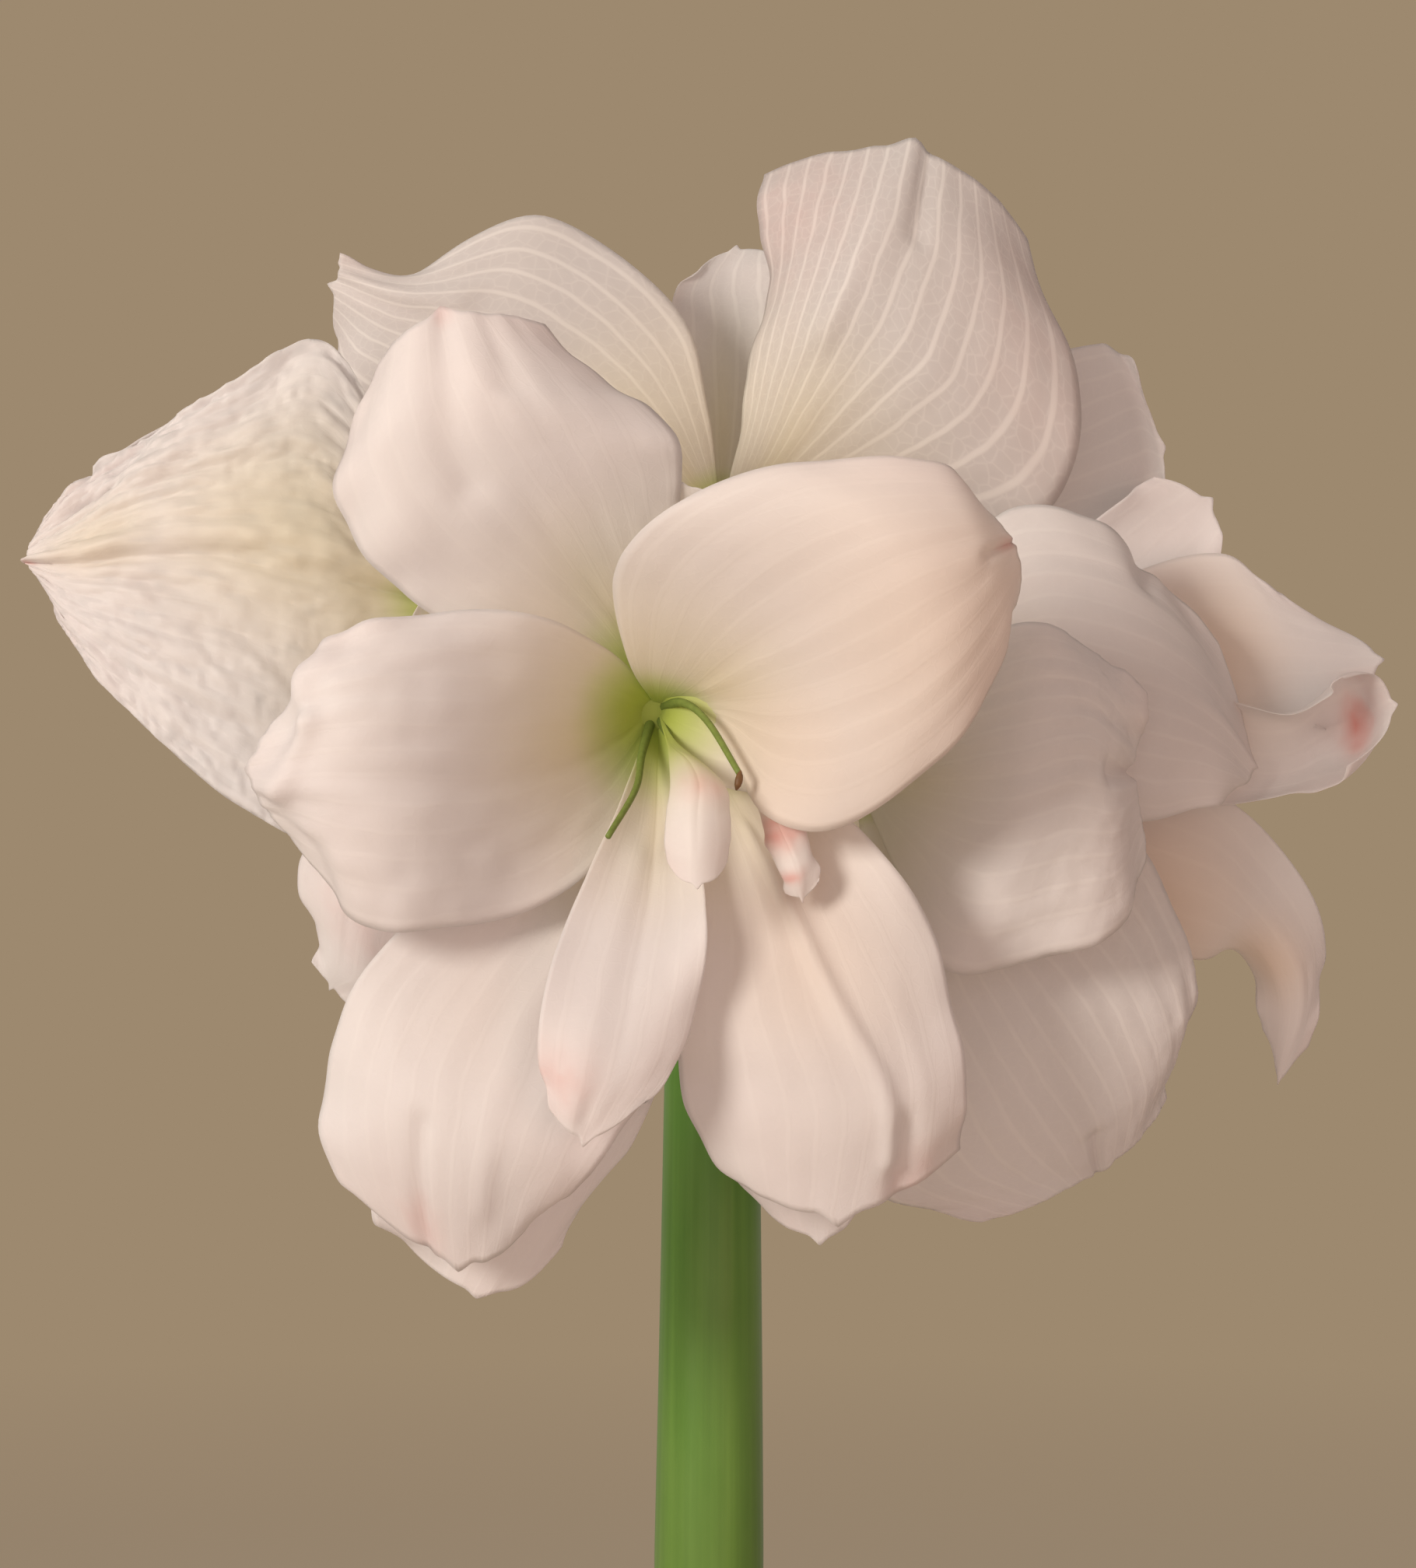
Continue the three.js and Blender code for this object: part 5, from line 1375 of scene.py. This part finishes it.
def subdivided(line):
    """The same line with points added so that no step is longer than the longest allowed."""
    pieces = [line[:1]]
    for a, b in zip(line[:-1], line[1:]):
        count = max(1, int(np.ceil(np.linalg.norm(b - a) / LONGEST_STEP)))
        pieces.append(a + (b - a) * (np.arange(1, count + 1) / count)[:, None])
    return np.concatenate(pieces)


outline = subdivided(rounded_profile(pot_corners))
turn = full_turn(POT_SIDES)
radius, height = outline[:, :1], outline[:, 1:]
outer = (radius > POT.base - 1) & (height > 3)
rings_of_turning = 0.12 * unevenness(height / 3.2 + 0 * turn, turn * 1.2, 5) * outer
radial = radius - 0.1 * outer + np.minimum(rings_of_turning, 0.1)
faces = grid_faces(len(outline), POT_SIDES, wrap=True)
count = (len(outline) - 1) * POT_SIDES  # the last ring is the first one again
points, faces = around(radial, height, turn).reshape(-1, 3)[:count], faces % count
make_piece("clay_pot", (points, faces[:, ::-1], {}), clay_material, "pot")

# %% [markdown]
# Potting soil is dark, loose and damp, a mix of peat, bark and white grains of perlite. Its surface
# is a disc with bumps of several sizes, which goes down along the pot's wall to its floor. Crumbs
# of bark and perlite lie half sunk in the top. Each crumb is a small lump of 18 faces, turned
# and stretched in its own way, with a fixed seed so that it is the same on each run.

# %% Soil
SOIL = SimpleNamespace(top=118, edge_drop=3, lump=1.6, sides=200, rings=76, gap=0.6, sink=0.3, settled=0.8)
CRUMBS = SimpleNamespace(count=520, seed=7, white_share=0.16, tilt=0.35)
GRAIN, CHIP = (1.0, 1.0, 0.9), (2.6, 1.2, 0.7)  # half sizes in mm of perlite and bark, times a random size
GRAIN_SIZES, CHIP_SIZES = (0.8, 1.5), (0.6, 1.0)

soil_material, tree = new_material("damp potting soil")
place = plant_place(tree)
coarse, fine = noise(tree, place, 160.0, 5.0), noise(tree, place, 700.0, 3.0)
bark, perlite = times(tree, mark_of(tree, "bark"), 0.8), mark_of(tree, "perlite")
earth = mix_colour(tree, coarse, "#1d130d", "#4a3524")
earth = coated(tree, earth, (bark, "#6e4a2c"), (perlite, "#e4ddcf"))
tilt = bumps(tree, calculate(tree, "ADD", coarse, fine), 0.7, 1.2 * MM)
dull = {"Roughness": 0.92, "Specular IOR Level": 0.25}
show(tree, add_node(tree, "BsdfPrincipled", {"Base Color": earth, "Normal": tilt, **dull}))


def inner_radius(height):
    """Half the width of the pot's inside at a height, which widens evenly from floor to lip."""
    share = (height - POT.floor) / (POT.height - POT.lip - POT.floor)
    return POT.base - POT.wall + (POT.top - POT.base) * share


def soil_height(x, y):
    """Large lumps as in the solid, with smaller ones on them."""
    lumps = np.sin(x / 5.1 + 1) * np.cos(y / 6.3) + 0.7 * np.sin(x / 2.9 - y / 3.7)
    small = 0.5 * unevenness(x / 2.6, y / 2.6, 12) + 0.3 * unevenness(x / 1.3, y / 1.3, 13)
    return SOIL.top + SOIL.lump * (0.8 * lumps + small)


def edge_drop(share):
    """How far the soil has sunk towards the pot's wall, by the share of the way to it."""
    return SOIL.edge_drop * smooth_step(share, 0.8, 1.0) * SOIL.settled


rim = inner_radius(SOIL.top) - SOIL.gap
turn = full_turn(SOIL.sides)
share = np.linspace(1, 0.004, SOIL.rings)[:, None]
flat = around(rim * share, 0, turn)
x, y = flat[..., 0], flat[..., 1]
top = np.stack([x, y, soil_height(x, y) - edge_drop(share) - SOIL.sink], axis=-1)
walls = [around(r, POT.floor + SOIL.sink, turn[0]) for r in (0.2, inner_radius(POT.floor) - SOIL.gap)]
grid = np.concatenate([np.array(walls), top])
faces = grid_faces(len(grid), SOIL.sides, wrap=True)[:, ::-1]
parts = [(grid.reshape(-1, 3), faces, {"bark": 0.0, "perlite": 0.0})]

generator = np.random.default_rng(CRUMBS.seed)
level = np.array([-0.999, -0.5, 0.5, 0.999])[:, None]
ball = around(np.sqrt(1 - level**2), level, full_turn(6)).reshape(-1, 3)
ball_faces = grid_faces(4, 6, wrap=True)
for _ in range(CRUMBS.count):
    spread, angle = rim * 0.96 * np.sqrt(generator.random()), 2 * np.pi * generator.random()
    x, y = spread * np.cos(angle), spread * np.sin(angle)
    if np.hypot(x - BULB.x, y - BULB.y) < BULB.radius + 1:
        continue
    white = generator.random() < CRUMBS.white_share
    size = np.array(GRAIN if white else CHIP) * generator.uniform(*(GRAIN_SIZES if white else CHIP_SIZES))
    lump = ball * size * generator.uniform(0.75, 1.25, ball.shape)
    yaw, tilt = generator.uniform(0, 2 * np.pi), generator.normal(0, CRUMBS.tilt)
    about_z = np.array([[np.cos(yaw), -np.sin(yaw), 0], [np.sin(yaw), np.cos(yaw), 0], [0, 0, 1]])
    about_x = np.array([[1, 0, 0], [0, np.cos(tilt), -np.sin(tilt)], [0, np.sin(tilt), np.cos(tilt)]])
    at = np.array([x, y, soil_height(x, y) - float(edge_drop(spread / rim)) + 0.1])
    marks = {"bark": 0.0 if white else generator.uniform(0.2, 1.0), "perlite": 1.0 if white else 0.0}
    parts.append((lump @ (about_z @ about_x).T + at, ball_faces, marks))
make_piece("potting_soil", join(parts), soil_material, "soil")
